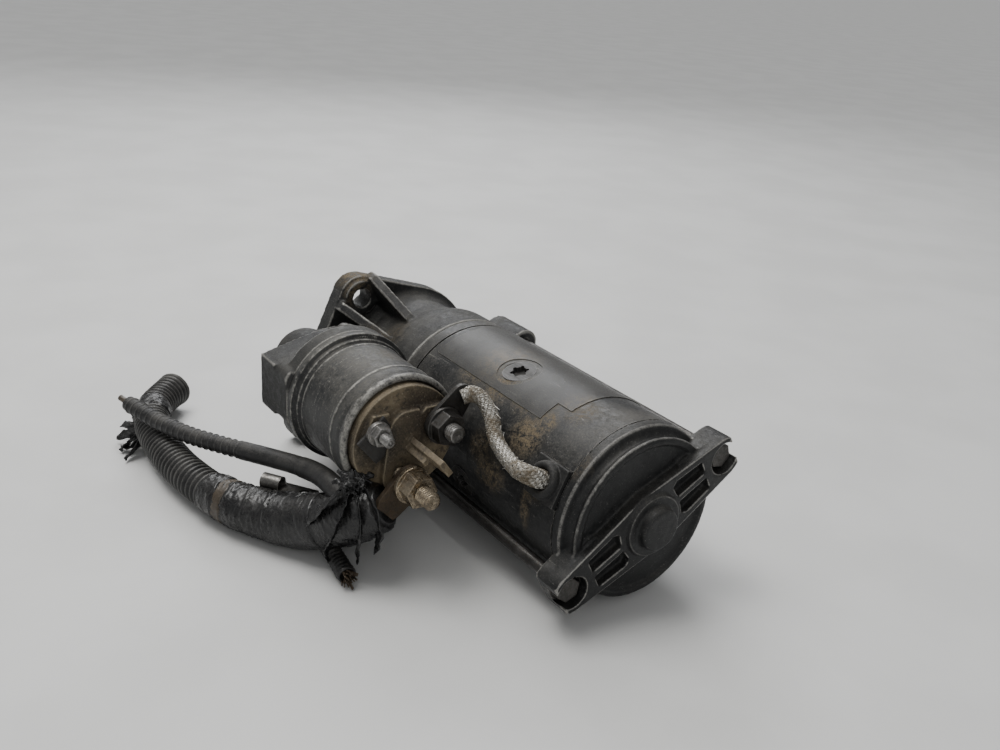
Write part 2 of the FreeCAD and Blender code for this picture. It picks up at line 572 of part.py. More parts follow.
# ---------------------------------------------------------------- solenoid
can = tube(SOL_U0 + 1.0, SOL_U1, SOL_R, 25.4, SOL_Y, SOL_Z)
can = can.fuse(rev([(SOL_U0, 25.0), (SOL_U0, 26.6), (SOL_U0 + 1.2, 27.9), (SOL_U0 + 3.2, 28.0), (SOL_U0 + 4.2, 27.5), (SOL_U0 + 4.2, 25.0)], SOL_Y, SOL_Z))
can = can.fuse(rev([(79.2, 27.0), (80.0, 27.9), (81.2, 27.9), (82.0, 27.0)], SOL_Y, SOL_Z))
can = can.fuse(tube(112.8, SOL_U1, 31.0, 9.85, SOL_Y, SOL_Z)).fuse(tube(110.5, 113.5, 29.0, 25.0, SOL_Y, SOL_Z))
for y, z in SCR:
    can = can.cut(cyl(113.2, SOL_U1 + 1, 2.6, y, z))
put("solenoid_can", can)
put("solenoid_screws", *[cyl(113.4, 127.5, 2.6, y, z).fuse(cyl(127.5, 131.0, 4.6, y, z)).cut(hexagon(129.0, 132, 4.0, y, z)) for y, z in SCR])
h2 = house
for y, z in SCR:
    h2 = h2.cut(cyl(127.5, 136.2, 5.7, y, z))
put("drive_end_housing", h2)
put("solenoid_core", cyl(85.0, 90.0, 25.3, SOL_Y, SOL_Z).fuse(cyl(89, 94.0, 9.4, SOL_Y, SOL_Z)).cut(cyl(80, 100, 3.0, SOL_Y, SOL_Z)))
put("solenoid_bobbin", tube(90.0, 112.8, 10.8, 9.7, SOL_Y, SOL_Z).fuse(tube(90.0, 91.2, 25.0, 9.7, SOL_Y, SOL_Z)).fuse(tube(111.6, 112.8, 25.0, 9.7, SOL_Y, SOL_Z)))
put("solenoid_winding", tube(91.2, 111.6, 24.4, 10.8, SOL_Y, SOL_Z))

cap = cyl(65.5, 84.9, 24.6, SOL_Y, SOL_Z)
cap = cap.fuse(tube(73.3, 84.9, 25.3, 20, SOL_Y, SOL_Z))


def at(right, up):
    return SOL_Y - right, SOL_Z + up


MY, MZ = at(14.0, 7.0)
BY, BZ = at(-3.7, -14.4)
SY, SZ = at(-15.7, 8.4)
# raised terminal block on the cap
cap = cap.fuse(hull_yz([(MY, MZ, 8.0), (BY, BZ, 8.6), (SOL_Y + 1.0, SOL_Z + 6.0, 9.0)], 61.5, 66.5))
cap = cap.fuse(prism_yz([at(-22.4, 2.2), at(-9.2, 2.2), at(-9.2, 15.0), at(-16.8, 15.0)], 63.0, 66.5).common(cyl(60, 70, 24.6, SOL_Y, SOL_Z)))
# insulating barrier between the terminals
W0 = at(1.4, -1.6)
bar = prism_yz([at(-0.9, 1.4), at(1.3, 3.0), at(6.2, -3.6), at(4.0, -5.2)], 36.5, 64.0)
bar = bar.fuse(prism_yz([at(-2.2, -2.2), at(-0.6, -4.4), at(4.4, -0.6), at(2.8, 1.6)], 47.0, 64.0))
cap = cap.fuse(bar)
cap = cap.cut(cyl(70.0, 86, 21.0, SOL_Y, SOL_Z))
for (y, z, r) in ((MY, MZ, 4.0), (BY, BZ, 4.0), (SY, SZ, 2.5)):
    cap = cap.cut(cyl(55, 72, r, y, z))
cap = cap.cut(prism_yz([at(3.5, 17.5), at(8.5, 16.0), at(5.0, 12.5)], 60, 64.6))
put("solenoid_cap", cap)
put("motor_stud", cyl(46.5, 72.5, 4.0, MY, MZ).fuse(hexagon(72.5, 75.5, 10.5, MY, MZ).common(cyl(72, 76, 6.5, MY, MZ))))
put("battery_stud", cyl(35.0, 43.4, 4.0, BY, BZ).fuse(cyl(43.4, 72.5, 3.7, BY, BZ)).fuse(hexagon(72.5, 75.5, 10.5, BY, BZ).common(cyl(72, 76, 6.2, BY, BZ))))
sg = cyl(50.0, 72.5, 2.5, SY, SZ).fuse(cyl(70.0, 72.5, 2.95, SY, SZ))
sg = sg.cut(Part.makeCylinder(0.8, 8, V(X(52.2), SY - 4, SZ), V(0, 1, 0)))
put("signal_stud", sg)
put("signal_plate", prism_yz([at(-24.6, 4.6), at(-15.6, -6.4), at(-4.4, 2.2), at(-12.6, 15.0)], 61.6, 63.0).cut([cyl(60, 66, 2.55, SY, SZ), hull_yz([(MY, MZ, 8.4), (BY, BZ, 9.0), (SOL_Y + 1.0, SOL_Z + 6.0, 9.4)], 60, 64)]))
put("motor_nut", hexagon(51.0, 57.0, 13, MY, MZ, 20).fuse(cyl(56.6, 58.4, 8.4, MY, MZ)).cut(cyl(50, 60, 4.0, MY, MZ)))
put("battery_nut", hexagon(43.5, 51.2, 13, BY, BZ, 5).fuse(cyl(51.0, 53.0, 8.4, BY, BZ)).cut(cyl(40, 60, 3.72, BY, BZ)))
put("signal_nut", hexagon(55.6, 59.6, 8, SY, SZ, 10).fuse(cyl(59.4, 61.6, 5.2, SY, SZ)).cut(cyl(50, 66, 2.5, SY, SZ)))

# moving parts of the solenoid
pl = cyl(104.0, 140.0, 9.6, SOL_Y, SOL_Z).fuse(cyl(138.0, 140.4, 14.4, SOL_Y, SOL_Z)).fuse(cyl(140, 153.4, 5.0, SOL_Y, SOL_Z))
HOOK_U = PIVOT_U - 14.0 * math.cos(SWING) + (AX_D - PIVOT_S) * math.sin(SWING)
hook = block(HOOK_U - 7.4, HOOK_U + 6.6, AX_D - 5.4, AX_D + 8.0, -7.6, 7.6).cut(block(HOOK_U - 3.4, HOOK_U + 3.4, AX_D - 12.0, AX_D + 5.6, -4.3, 4.3))
pl = pl.fuse(hook)
pl = pl.cut(cyl(100, 104.0 + 12, 3.0, SOL_Y, SOL_Z))
put("plunger", pl)
sp = Part.makeHelix(4.6, 18.4, 11.9)
sp.Placement = FreeCAD.Placement(V(X(118.2), SOL_Y, SOL_Z), FreeCAD.Rotation(V(0, 0, 1), V(1, 0, 0)))
st = sp.Edges[0].valueAt(sp.Edges[0].FirstParameter)
tn = sp.Edges[0].tangentAt(sp.Edges[0].FirstParameter)
side = tn.cross(V(1, 0, 0)).normalize()
over = tn.cross(side).normalize()
sect = Part.makePolygon([st + side * (0.93 * math.cos(math.pi * (q + 0.5) / 4)) + over * (0.93 * math.sin(math.pi * (q + 0.5) / 4)) for q in range(9)])
spring = Part.Wire(sp).makePipeShell([sect], True, True)
put("plunger_spring", spring)
put("contact_disc", tube(78.6, 80.6, 13.4, 2.6, SOL_Y, SOL_Z))
put("contact_rod", cyl(77.4, 97.4, 2.6, SOL_Y, SOL_Z).fuse(tube(80.6, 82.0, 4.6, 2.0, SOL_Y, SOL_Z)))

# ---------------------------------------------------------------- motor lead
LUG_U0, LUG_U1 = 58.4, 60.6
lug = hull_yz([(MY, MZ, 8.0), (47.0, 36.0, 5.6)], LUG_U0, LUG_U1).cut(cyl(50, 66, 4.05, MY, MZ))
put("motor_lead_lug", lug)
BR = 4.2
braid_pts = [(X(59.5), 47.0, 36.0), (X(57.5), 41.0, 38.8), (X(49.5), 37.4, 30.2), (X(42.0), 40.6, 22.6), (X(32.0), 41.6, 18.4),
             (X(22.0), 42.6, 17.4), (X(13.0), 45.8, 19.6), (X(GROM_U + 0.6), 45.2, 21.0), (X(GROM_U + 0.6), 33.4, 15.6)]
gy, gz = polar(1.0, GROM_ANG)
braid_pts[-2] = (X(GROM_U + 0.6), gy * 49.5, gz * 49.5)
braid_pts[-1] = (X(GROM_U + 0.6), gy * 36.8, gz * 36.8)
braid_pts[-3] = (X(18.0), gy * 50.0, gz * 50.0 - 1.0)
put("motor_lead_braid", route_tube(braid_pts, BR, "motor_lead_braid"))

# ---------------------------------------------------------------- harness: lug, boot, trunk, branch, tail
put("battery_cable_lug", hull_yz([(BY, BZ, 8.0), (BY + 9.0, BZ - 8.5, 7.0)], 53.0, 55.6).cut(cyl(50, 60, 4.05, BY, BZ)))
TR = 9.0
TRUNK = [(X(57.0), 83.6, -5.6), (X(65.5), 91.3, -13.0), (X(78.0), 98.0, -21.0), (X(92.0), 105.0, -27.0), (X(107.0), 115.0, -29.0), (X(123.0), 124.5, -29.0),
         (X(145.0), 131.5, -29.0), (X(172.0), 135.0, -29.0), (X(200.0), 134.6, -29.0), (X(225.0), 131.0, -29.0), (X(244.0), 122.0, -29.0), (X(257.0), 107.5, -29.0)]
put("harness_trunk", route_tube(TRUNK, TR, "harness_trunk"))
BRR = 4.25
BRANCH = [(X(67.0), 94.6, -7.0), (X(78.0), 97.2, -4.2), (X(89.0), 95.6, -6.2), (X(101.0), 95.4, -8.6), (X(113.0), 99.4, -9.6), (X(126.0), 106.6, -10.4),
          (X(140.0), 114.0, -11.6), (X(155.0), 121.4, -13.0), (X(170.0), 128.4, -14.2), (X(185.0), 134.3, -14.4), (X(200.0), 139.5, -13.8), (X(214.0), 144.0, -12.5)]
put("harness_branch", route_tube(BRANCH, BRR, "harness_branch"))
TLR = 4.3
TAIL = [(X(84.0), 100.6, -29.0), (X(75.5), 99.6, -33.6), (X(66.5), 100.0, -35.4), (X(56.5), 101.2, -35.4)]
put("harness_tail", route_tube(TAIL, TLR, "harness_tail"))
eye = Part.makeBox(17, 9, 1.2, V(X(99), 92, -20.6)).cut(Part.makeCylinder(2.7, 5, V(X(104), 96.5, -22), V(0, 0, 1)))
eye = eye.fuse(Part.makeCylinder(3.6, 9.5, V(X(115.5), 96.5, -18.2), V(1, 0, 0)).cut(Part.makeCylinder(2.4, 12, V(X(114.5), 96.5, -18.2), V(1, 0, 0))))
eye.rotate(V(X(99), 96.5, -20), V(0, 0, 1), 35)
put("harness_eyelet", eye)

# ---------------------------------------------------------------- write one file per piece
bad = 0
for name, solids in NODES.items():
    shape = solids[0] if len(solids) == 1 else Part.makeCompound(solids)
    ok = all(s.isValid() and s.Volume > 0 for s in solids)
    bb = shape.BoundBox
    if not ok:
        bad += 1
    print("%-20s solids %d valid %s vol %.0f x %.1f..%.1f y %.1f..%.1f z %.1f..%.1f" % (
        name, len(solids), ok, shape.Volume, bb.XMin, bb.XMax, bb.YMin, bb.YMax, bb.ZMin, bb.ZMax))
    shape.exportStep("parts/" + name + ".step")
print(len(NODES), "nodes,", bad, "bad")
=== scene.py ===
import json
import math
import bpy
import bmesh
import numpy as np
from mathutils import Vector, Matrix, noise

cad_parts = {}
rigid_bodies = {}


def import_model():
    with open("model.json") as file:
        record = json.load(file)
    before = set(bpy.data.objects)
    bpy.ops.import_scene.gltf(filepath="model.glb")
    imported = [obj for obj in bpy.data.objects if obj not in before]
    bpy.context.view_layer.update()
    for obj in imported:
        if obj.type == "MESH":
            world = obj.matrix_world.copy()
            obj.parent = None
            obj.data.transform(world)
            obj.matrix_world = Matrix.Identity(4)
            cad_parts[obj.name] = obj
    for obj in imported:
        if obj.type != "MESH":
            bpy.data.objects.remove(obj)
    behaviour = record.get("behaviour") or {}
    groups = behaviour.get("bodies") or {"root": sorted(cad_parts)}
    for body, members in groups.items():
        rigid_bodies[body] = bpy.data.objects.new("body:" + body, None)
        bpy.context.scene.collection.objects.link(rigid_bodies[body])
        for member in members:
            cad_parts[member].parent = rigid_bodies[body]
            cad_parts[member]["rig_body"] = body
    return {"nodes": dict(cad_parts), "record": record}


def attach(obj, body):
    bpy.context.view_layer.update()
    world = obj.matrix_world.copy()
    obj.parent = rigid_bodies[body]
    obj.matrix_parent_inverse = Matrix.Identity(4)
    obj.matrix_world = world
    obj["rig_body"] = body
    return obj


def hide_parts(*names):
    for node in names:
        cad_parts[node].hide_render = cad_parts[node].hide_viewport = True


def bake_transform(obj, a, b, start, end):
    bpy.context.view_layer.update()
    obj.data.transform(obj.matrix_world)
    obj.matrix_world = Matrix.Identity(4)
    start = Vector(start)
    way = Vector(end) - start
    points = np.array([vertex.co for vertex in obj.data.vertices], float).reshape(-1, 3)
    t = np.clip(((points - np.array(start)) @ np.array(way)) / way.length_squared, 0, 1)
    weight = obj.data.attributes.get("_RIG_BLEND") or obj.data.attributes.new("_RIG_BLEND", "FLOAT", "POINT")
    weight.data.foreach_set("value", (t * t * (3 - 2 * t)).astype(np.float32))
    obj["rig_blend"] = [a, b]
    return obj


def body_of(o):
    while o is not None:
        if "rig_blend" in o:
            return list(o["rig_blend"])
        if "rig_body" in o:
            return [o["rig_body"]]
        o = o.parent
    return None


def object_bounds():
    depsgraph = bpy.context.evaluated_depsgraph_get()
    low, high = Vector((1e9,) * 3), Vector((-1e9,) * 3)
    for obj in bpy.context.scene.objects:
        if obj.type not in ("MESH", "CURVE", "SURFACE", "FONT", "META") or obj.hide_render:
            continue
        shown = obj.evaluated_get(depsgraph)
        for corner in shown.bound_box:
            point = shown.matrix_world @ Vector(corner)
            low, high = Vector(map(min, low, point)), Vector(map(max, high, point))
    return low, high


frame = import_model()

CAD_BOX = [list(v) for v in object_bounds()]
F = 195.0
MM = 0.001
NODES = frame["nodes"]


def X(u):
    return u - F


# ------------------------------------------------------------------ camera
cam = bpy.data.objects.new("camera", bpy.data.cameras.new("camera"))
bpy.context.scene.collection.objects.link(cam)
cam.data.lens = 36
cam.data.sensor_width = 36
cam.data.clip_start = 0.01
cam.data.clip_end = 60
cam.matrix_world = Matrix(((-0.571, 0.359, -0.738, -0.4564), (-0.8177, -0.1683, 0.5505, 0.2666), (0.0734, 0.918, 0.3897, 0.2116), (0, 0, 0, 1)))
bpy.context.scene.camera = cam

# ------------------------------------------------------------------ cord routes, the same points as the CAD tubes
TRUNK = [(57.0, 83.6, -5.6), (65.5, 91.3, -13.0), (78.0, 98.0, -21.0), (92.0, 105.0, -27.0), (107.0, 115.0, -29.0), (123.0, 124.5, -29.0),
         (145.0, 131.5, -29.0), (172.0, 135.0, -29.0), (200.0, 134.6, -29.0), (225.0, 131.0, -29.0), (244.0, 122.0, -29.0), (257.0, 107.5, -29.0)]
BRANCH = [(67.0, 94.6, -7.0), (78.0, 97.2, -4.2), (89.0, 95.6, -6.2), (101.0, 95.4, -8.6), (113.0, 99.4, -9.6), (126.0, 106.6, -10.4),
          (140.0, 114.0, -11.6), (155.0, 121.4, -13.0), (170.0, 128.4, -14.2), (185.0, 134.3, -14.4), (200.0, 139.5, -13.8), (214.0, 144.0, -12.5)]
TAIL = [(84.0, 100.6, -29.0), (75.5, 99.6, -33.6), (66.5, 100.0, -35.4), (56.5, 101.2, -35.4)]
BRAID = [(59.5, 47.0, 36.0), (57.5, 41.0, 38.8), (49.5, 37.4, 30.2), (42.0, 40.6, 22.6), (32.0, 41.6, 18.4), (22.0, 42.6, 17.4), (18.0, 45.3, 20.1), (9.6, 44.9, 20.9), (9.6, 33.35, 15.55)]


def route(points, step):
    """The smooth line through a route's control points, at an even spacing, in metres."""
    cu = bpy.data.curves.new("route", "CURVE")
    cu.dimensions = "3D"
    cu.resolution_u = 40
    sp = cu.splines.new("NURBS")
    sp.points.add(len(points) - 1)
    for p, (u, y, z) in zip(sp.points, points):
        p.co = (X(u) * MM, y * MM, z * MM, 1.0)
    sp.order_u = 3
    sp.use_endpoint_u = True
    ob = bpy.data.objects.new("route", cu)
    me = bpy.data.meshes.new_from_object(ob)
    line = np.array([v.co for v in me.vertices], float).reshape(-1, 3)
    bpy.data.meshes.remove(me)
    bpy.data.objects.remove(ob)
    bpy.data.curves.remove(cu)
    s = np.concatenate([[0], np.cumsum(np.linalg.norm(np.diff(line, axis=0), axis=1))])
    at = np.linspace(0, s[-1], int(s[-1] / (step * MM)) + 1)
    return np.stack([np.interp(at, s, line[:, k]) for k in range(3)], axis=1), at / MM


def frames(P, up=(0.0, 0.0, 1.0)):
    """Tangent, side and top directions along a line. The side lies flat where it can."""
    T = np.gradient(P, axis=0)
    T /= np.linalg.norm(T, axis=1)[:, None]
    n = np.array(up, float)
    n = n - T[0] * (n @ T[0])
    n /= np.linalg.norm(n)
    N = []
    for t in T:
        n = n - t * (n @ t)
        n /= np.linalg.norm(n)
        N.append(n)
    N = np.array(N)
    return T, np.cross(T, N), N


def fbm(p, scale, octaves=4, seed=0.0):
    v, a, f = 0.0, 1.0, scale
    q = Vector(p)
    off = Vector((seed, seed * 1.7, -seed * 0.6))
    for _ in range(octaves):
        v += a * noise.noise(q * f + off)
        a *= 0.5
        f *= 2.03
    return v


def mesh_object(name, verts, faces, body="housing", smooth=True):
    me = bpy.data.meshes.new(name)
    me.from_pydata([tuple(v) for v in verts], [], faces)
    me.validate()
    me.update()
    ob = bpy.data.objects.new(name, me)
    bpy.context.scene.collection.objects.link(ob)
    if smooth:
        me.polygons.foreach_set("use_smooth", [True] * len(me.polygons))
    if body:
        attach(ob, body)
    return ob


def grid_faces(rows, cols, wrap=True, caps=True, base=0):
    f = []
    for i in range(rows - 1):
        for j in range(cols if wrap else cols - 1):
            k = (j + 1) % cols
            f.append((base + i * cols + j, base + i * cols + k, base + (i + 1) * cols + k, base + (i + 1) * cols + j))
    return f


def tube(name, P, rad, sides=40, body="housing", up=(0, 0, 1), floor=None, caps=True, bore=None):
    """A skin round the line P. rad(i, angle) is its radius in mm; with bore, the far end is open like a pipe."""
    T, S, N = frames(P, up)
    verts = []
    n = len(P)
    for i in range(n):
        for j in range(sides):
            a = 2 * math.pi * j / sides
            r = rad(i, a) * MM
            v = P[i] + (S[i] * math.cos(a) + N[i] * math.sin(a)) * r
            if floor is not None and v[2] < floor:
                v = v.copy()
                v[2] = floor
            verts.append(v)
    faces = grid_faces(n, sides)
    if bore:
        depth, wall = bore
        back = max(1, int(depth))
        base = len(verts)
        rows = list(range(n - 1, n - 1 - back, -1))
        for i in rows:
            for j in range(sides):
                a = 2 * math.pi * j / sides
                r = (rad(i, a) - wall) * MM
                verts.append(P[i] + (S[i] * math.cos(a) + N[i] * math.sin(a)) * r)
        first = (n - 1) * sides
        for j in range(sides):
            k = (j + 1) % sides
            faces.append((first + j, first + k, base + k, base + j))
        for i in range(len(rows) - 1):
            for j in range(sides):
                k = (j + 1) % sides
                faces.append((base + i * sides + j, base + i * sides + k, base + (i + 1) * sides + k, base + (i + 1) * sides + j))
        verts.append(P[rows[-1]])
        c = len(verts) - 1
        last = base + (len(rows) - 1) * sides
        for j in range(sides):
            faces.append((last + j, last + (j + 1) % sides, c))
    elif caps:
        verts.append(P[-1])
        c = len(verts) - 1
        for j in range(sides):
            faces.append(((n - 1) * sides + j, (n - 1) * sides + (j + 1) % sides, c))
    if caps or bore:
        verts.append(P[0])
        c = len(verts) - 1
        for j in range(sides):
            faces.append(((j + 1) % sides, j, c))
    return mesh_object(name, verts, faces, body)


def highlight_crests(ob, rad, rows, sides, lo, hi, where=None):
    """How far up a rib each place is, kept on the mesh for the painted highlight on the rib tops."""
    v = np.zeros(len(ob.data.vertices), np.float32)
    for i in range(rows):
        if where and not where(i):
            continue
        for j in range(sides):
            v[i * sides + j] = min(1.0, max(0.0, (rad(i, 2 * math.pi * j / sides) - lo) / (hi - lo)))
    at = ob.data.attributes.new("edge", "FLOAT", "POINT")
    at.data.foreach_set("value", v)


def ribbon(name, pts, widths, thick=0.3, side=None, body="housing", twist=0.0, crinkle=0.0):
    """A strip of tape of some thickness through points in row millimetres."""
    P = np.array(pts, float)
    s = np.concatenate([[0], np.cumsum(np.linalg.norm(np.diff(P, axis=0), axis=1))])
    at = np.linspace(0, s[-1], max(8, int(s[-1] / 0.8)))
    Q = np.stack([np.interp(at, s, P[:, k]) for k in range(3)], axis=1)
    for _ in range(3):
        Q[1:-1] = (Q[:-2] + 2 * Q[1:-1] + Q[2:]) / 4
    W = np.interp(at, s, widths)
    T, S, N = frames(Q, side or (0, 0, 1))
    verts = []
    m = 7
    for i in range(len(Q)):
        tw = twist * at[i] / max(s[-1], 1e-6)
        a = S[i] * math.cos(tw) + N[i] * math.sin(tw)
        b = np.cross(T[i], a)
        for j in range(m):
            f = j / (m - 1) * 2 - 1
            d = crinkle * fbm((Q[i][0] * 0.25, f * 1.3, at[i] * 0.25), 1.0, 3, 3.1)
            c = Q[i] + a * f * W[i] / 2 + b * d
            verts.append(c * MM)
    n = len(verts)
    for i in range(len(Q)):
        tw = twist * at[i] / max(s[-1], 1e-6)
        a = S[i] * math.cos(tw) + N[i] * math.sin(tw)
        b = np.cross(T[i], a)
        for j in range(m):
            verts.append(verts[i * m + j] + b * thick * MM)
    faces = []
    R = len(Q)
    for i in range(R - 1):
        for j in range(m - 1):
            q = (i * m + j, i * m + j + 1, (i + 1) * m + j + 1, (i + 1) * m + j)
            faces.append(q[::-1])
            faces.append(tuple(x + n for x in q))
        for j, e in ((0, 0), (m - 1, 1)):
            q = (i * m + j, (i + 1) * m + j, (i + 1) * m + j + n, i * m + j + n)
            faces.append(q if e else q[::-1])
    for i, e in ((0, 1), (R - 1, 0)):
        for j in range(m - 1):
            q = (i * m + j, i * m + j + 1, i * m + j + 1 + n, i * m + j + n)
            faces.append(q if e else q[::-1])
    return mesh_object(name, verts, faces, body)


def lathe(name, prof, y, z, segs=160, body="housing", wobble=0.0, seed=0.0):
    """A closed profile of (u, r) turned round the line at (y, z), with its surface a little uneven."""
    verts, faces = [], []
    m = len(prof)
    for j in range(segs):
        a = 2 * math.pi * j / segs
        for (u, r) in prof:
            d = wobble * fbm((u * 0.08, math.cos(a) * 1.6, math.sin(a) * 1.6), 1.0, 4, seed) if wobble and r > 3 else 0.0
            rr = r + d
            verts.append((X(u) * MM, (y + rr * math.cos(a)) * MM, (z + rr * math.sin(a)) * MM))
    for j in range(segs):
        k = (j + 1) % segs
        for i in range(m):
            h = (i + 1) % m
            faces.append((j * m + i, j * m + h, k * m + h, k * m + i))
    return mesh_object(name, verts, faces, body)


def joined(name, objs):
    """Several pieces made into one mesh, materials kept."""
    verts, faces, slots, mats = [], [], [], []
    for o in objs:
        me = o.data
        base = len(verts)
        w = o.matrix_world
        verts += [tuple(w @ v.co) for v in me.vertices]
        mm = me.materials[0] if len(me.materials) else None
        if mm not in mats:
            mats.append(mm)
        for p in me.polygons:
            faces.append(tuple(base + v for v in p.vertices))
            slots.append(mats.index(mm))
    out = mesh_object(name, verts, faces, body_of(objs[0])[0])
    for mm in mats:
        if mm:
            out.data.materials.append(mm)
    out.data.polygons.foreach_set("material_index", slots)
    for o in objs:
        bpy.data.objects.remove(o)
    return out


def softened(node, voxel, passes, name=None, rough_cast=0.0, cast_scale=0.6, body="housing"):
    """The CAD node's shape as one skin with its edges rounded over, as a casting has them, and how sharp each place is."""
    src = NODES[node]
    me = src.data.copy()
    bm = bmesh.new()
    bm.from_mesh(me)
    bmesh.ops.remove_doubles(bm, verts=bm.verts, dist=2e-6)
    bm.to_mesh(me)
    bm.free()
    tmp = bpy.data.objects.new("tmp", me)
    bpy.context.scene.collection.objects.link(tmp)
    mod = tmp.modifiers.new("r", "REMESH")
    mod.mode = "VOXEL"
    mod.voxel_size = voxel * MM
    mod.adaptivity = 0.0
    dg = bpy.context.evaluated_depsgraph_get()
    new = bpy.data.meshes.new_from_object(tmp.evaluated_get(dg))
    bpy.data.objects.remove(tmp)
    bpy.data.meshes.remove(me)
    n = len(new.vertices)
    co = np.zeros(n * 3)
    new.vertices.foreach_get("co", co)
    co = co.reshape(-1, 3)
    ed = np.zeros(len(new.edges) * 2, int)
    new.edges.foreach_get("vertices", ed)
    ed = ed.reshape(-1, 2)
    deg = np.bincount(ed.ravel(), minlength=n).astype(float)

    def avg(a):
        out = np.stack([np.bincount(ed[:, 0], a[ed[:, 1], k], n) + np.bincount(ed[:, 1], a[ed[:, 0], k], n) for k in range(a.shape[1])], axis=1)
        return out / np.maximum(deg, 1)[:, None]
    for i in range(passes):
        co = co + 0.55 * (avg(co) - co)
        co = co - 0.57 * (avg(co) - co) * 0.75
    new.vertices.foreach_set("co", co.ravel())
    new.update()
    nor = np.zeros(n * 3)
    new.vertices.foreach_get("normal", nor)
    nor = nor.reshape(-1, 3)
    near = co
    for _ in range(3):
        near = avg(near)
    sharp = -((near - co) * nor).sum(1) / (voxel * MM)
    for _ in range(2):
        sharp = 0.5 * sharp + 0.5 * avg(sharp[:, None])[:, 0]
    if rough_cast:
        d = np.array([fbm(p, cast_scale * 1000.0, 3, 1.3) for p in co])
        co = co + nor * (d * rough_cast * MM)[:, None]
        new.vertices.foreach_set("co", co.ravel())
        new.update()
    lo, hi = np.percentile(sharp, [84, 98.5])
    sharp = np.clip((sharp - lo) / max(hi - lo, 1e-6), 0, 1.2)
    at = new.attributes.new("edge", "FLOAT", "POINT")
    at.data.foreach_set("value", sharp.astype(np.float32))
    new.polygons.foreach_set("use_smooth", [True] * len(new.polygons))
    ob = bpy.data.objects.new(name or node + "_skin", new)
    bpy.context.scene.collection.objects.link(ob)
    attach(ob, body)
    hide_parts(node)
    return ob


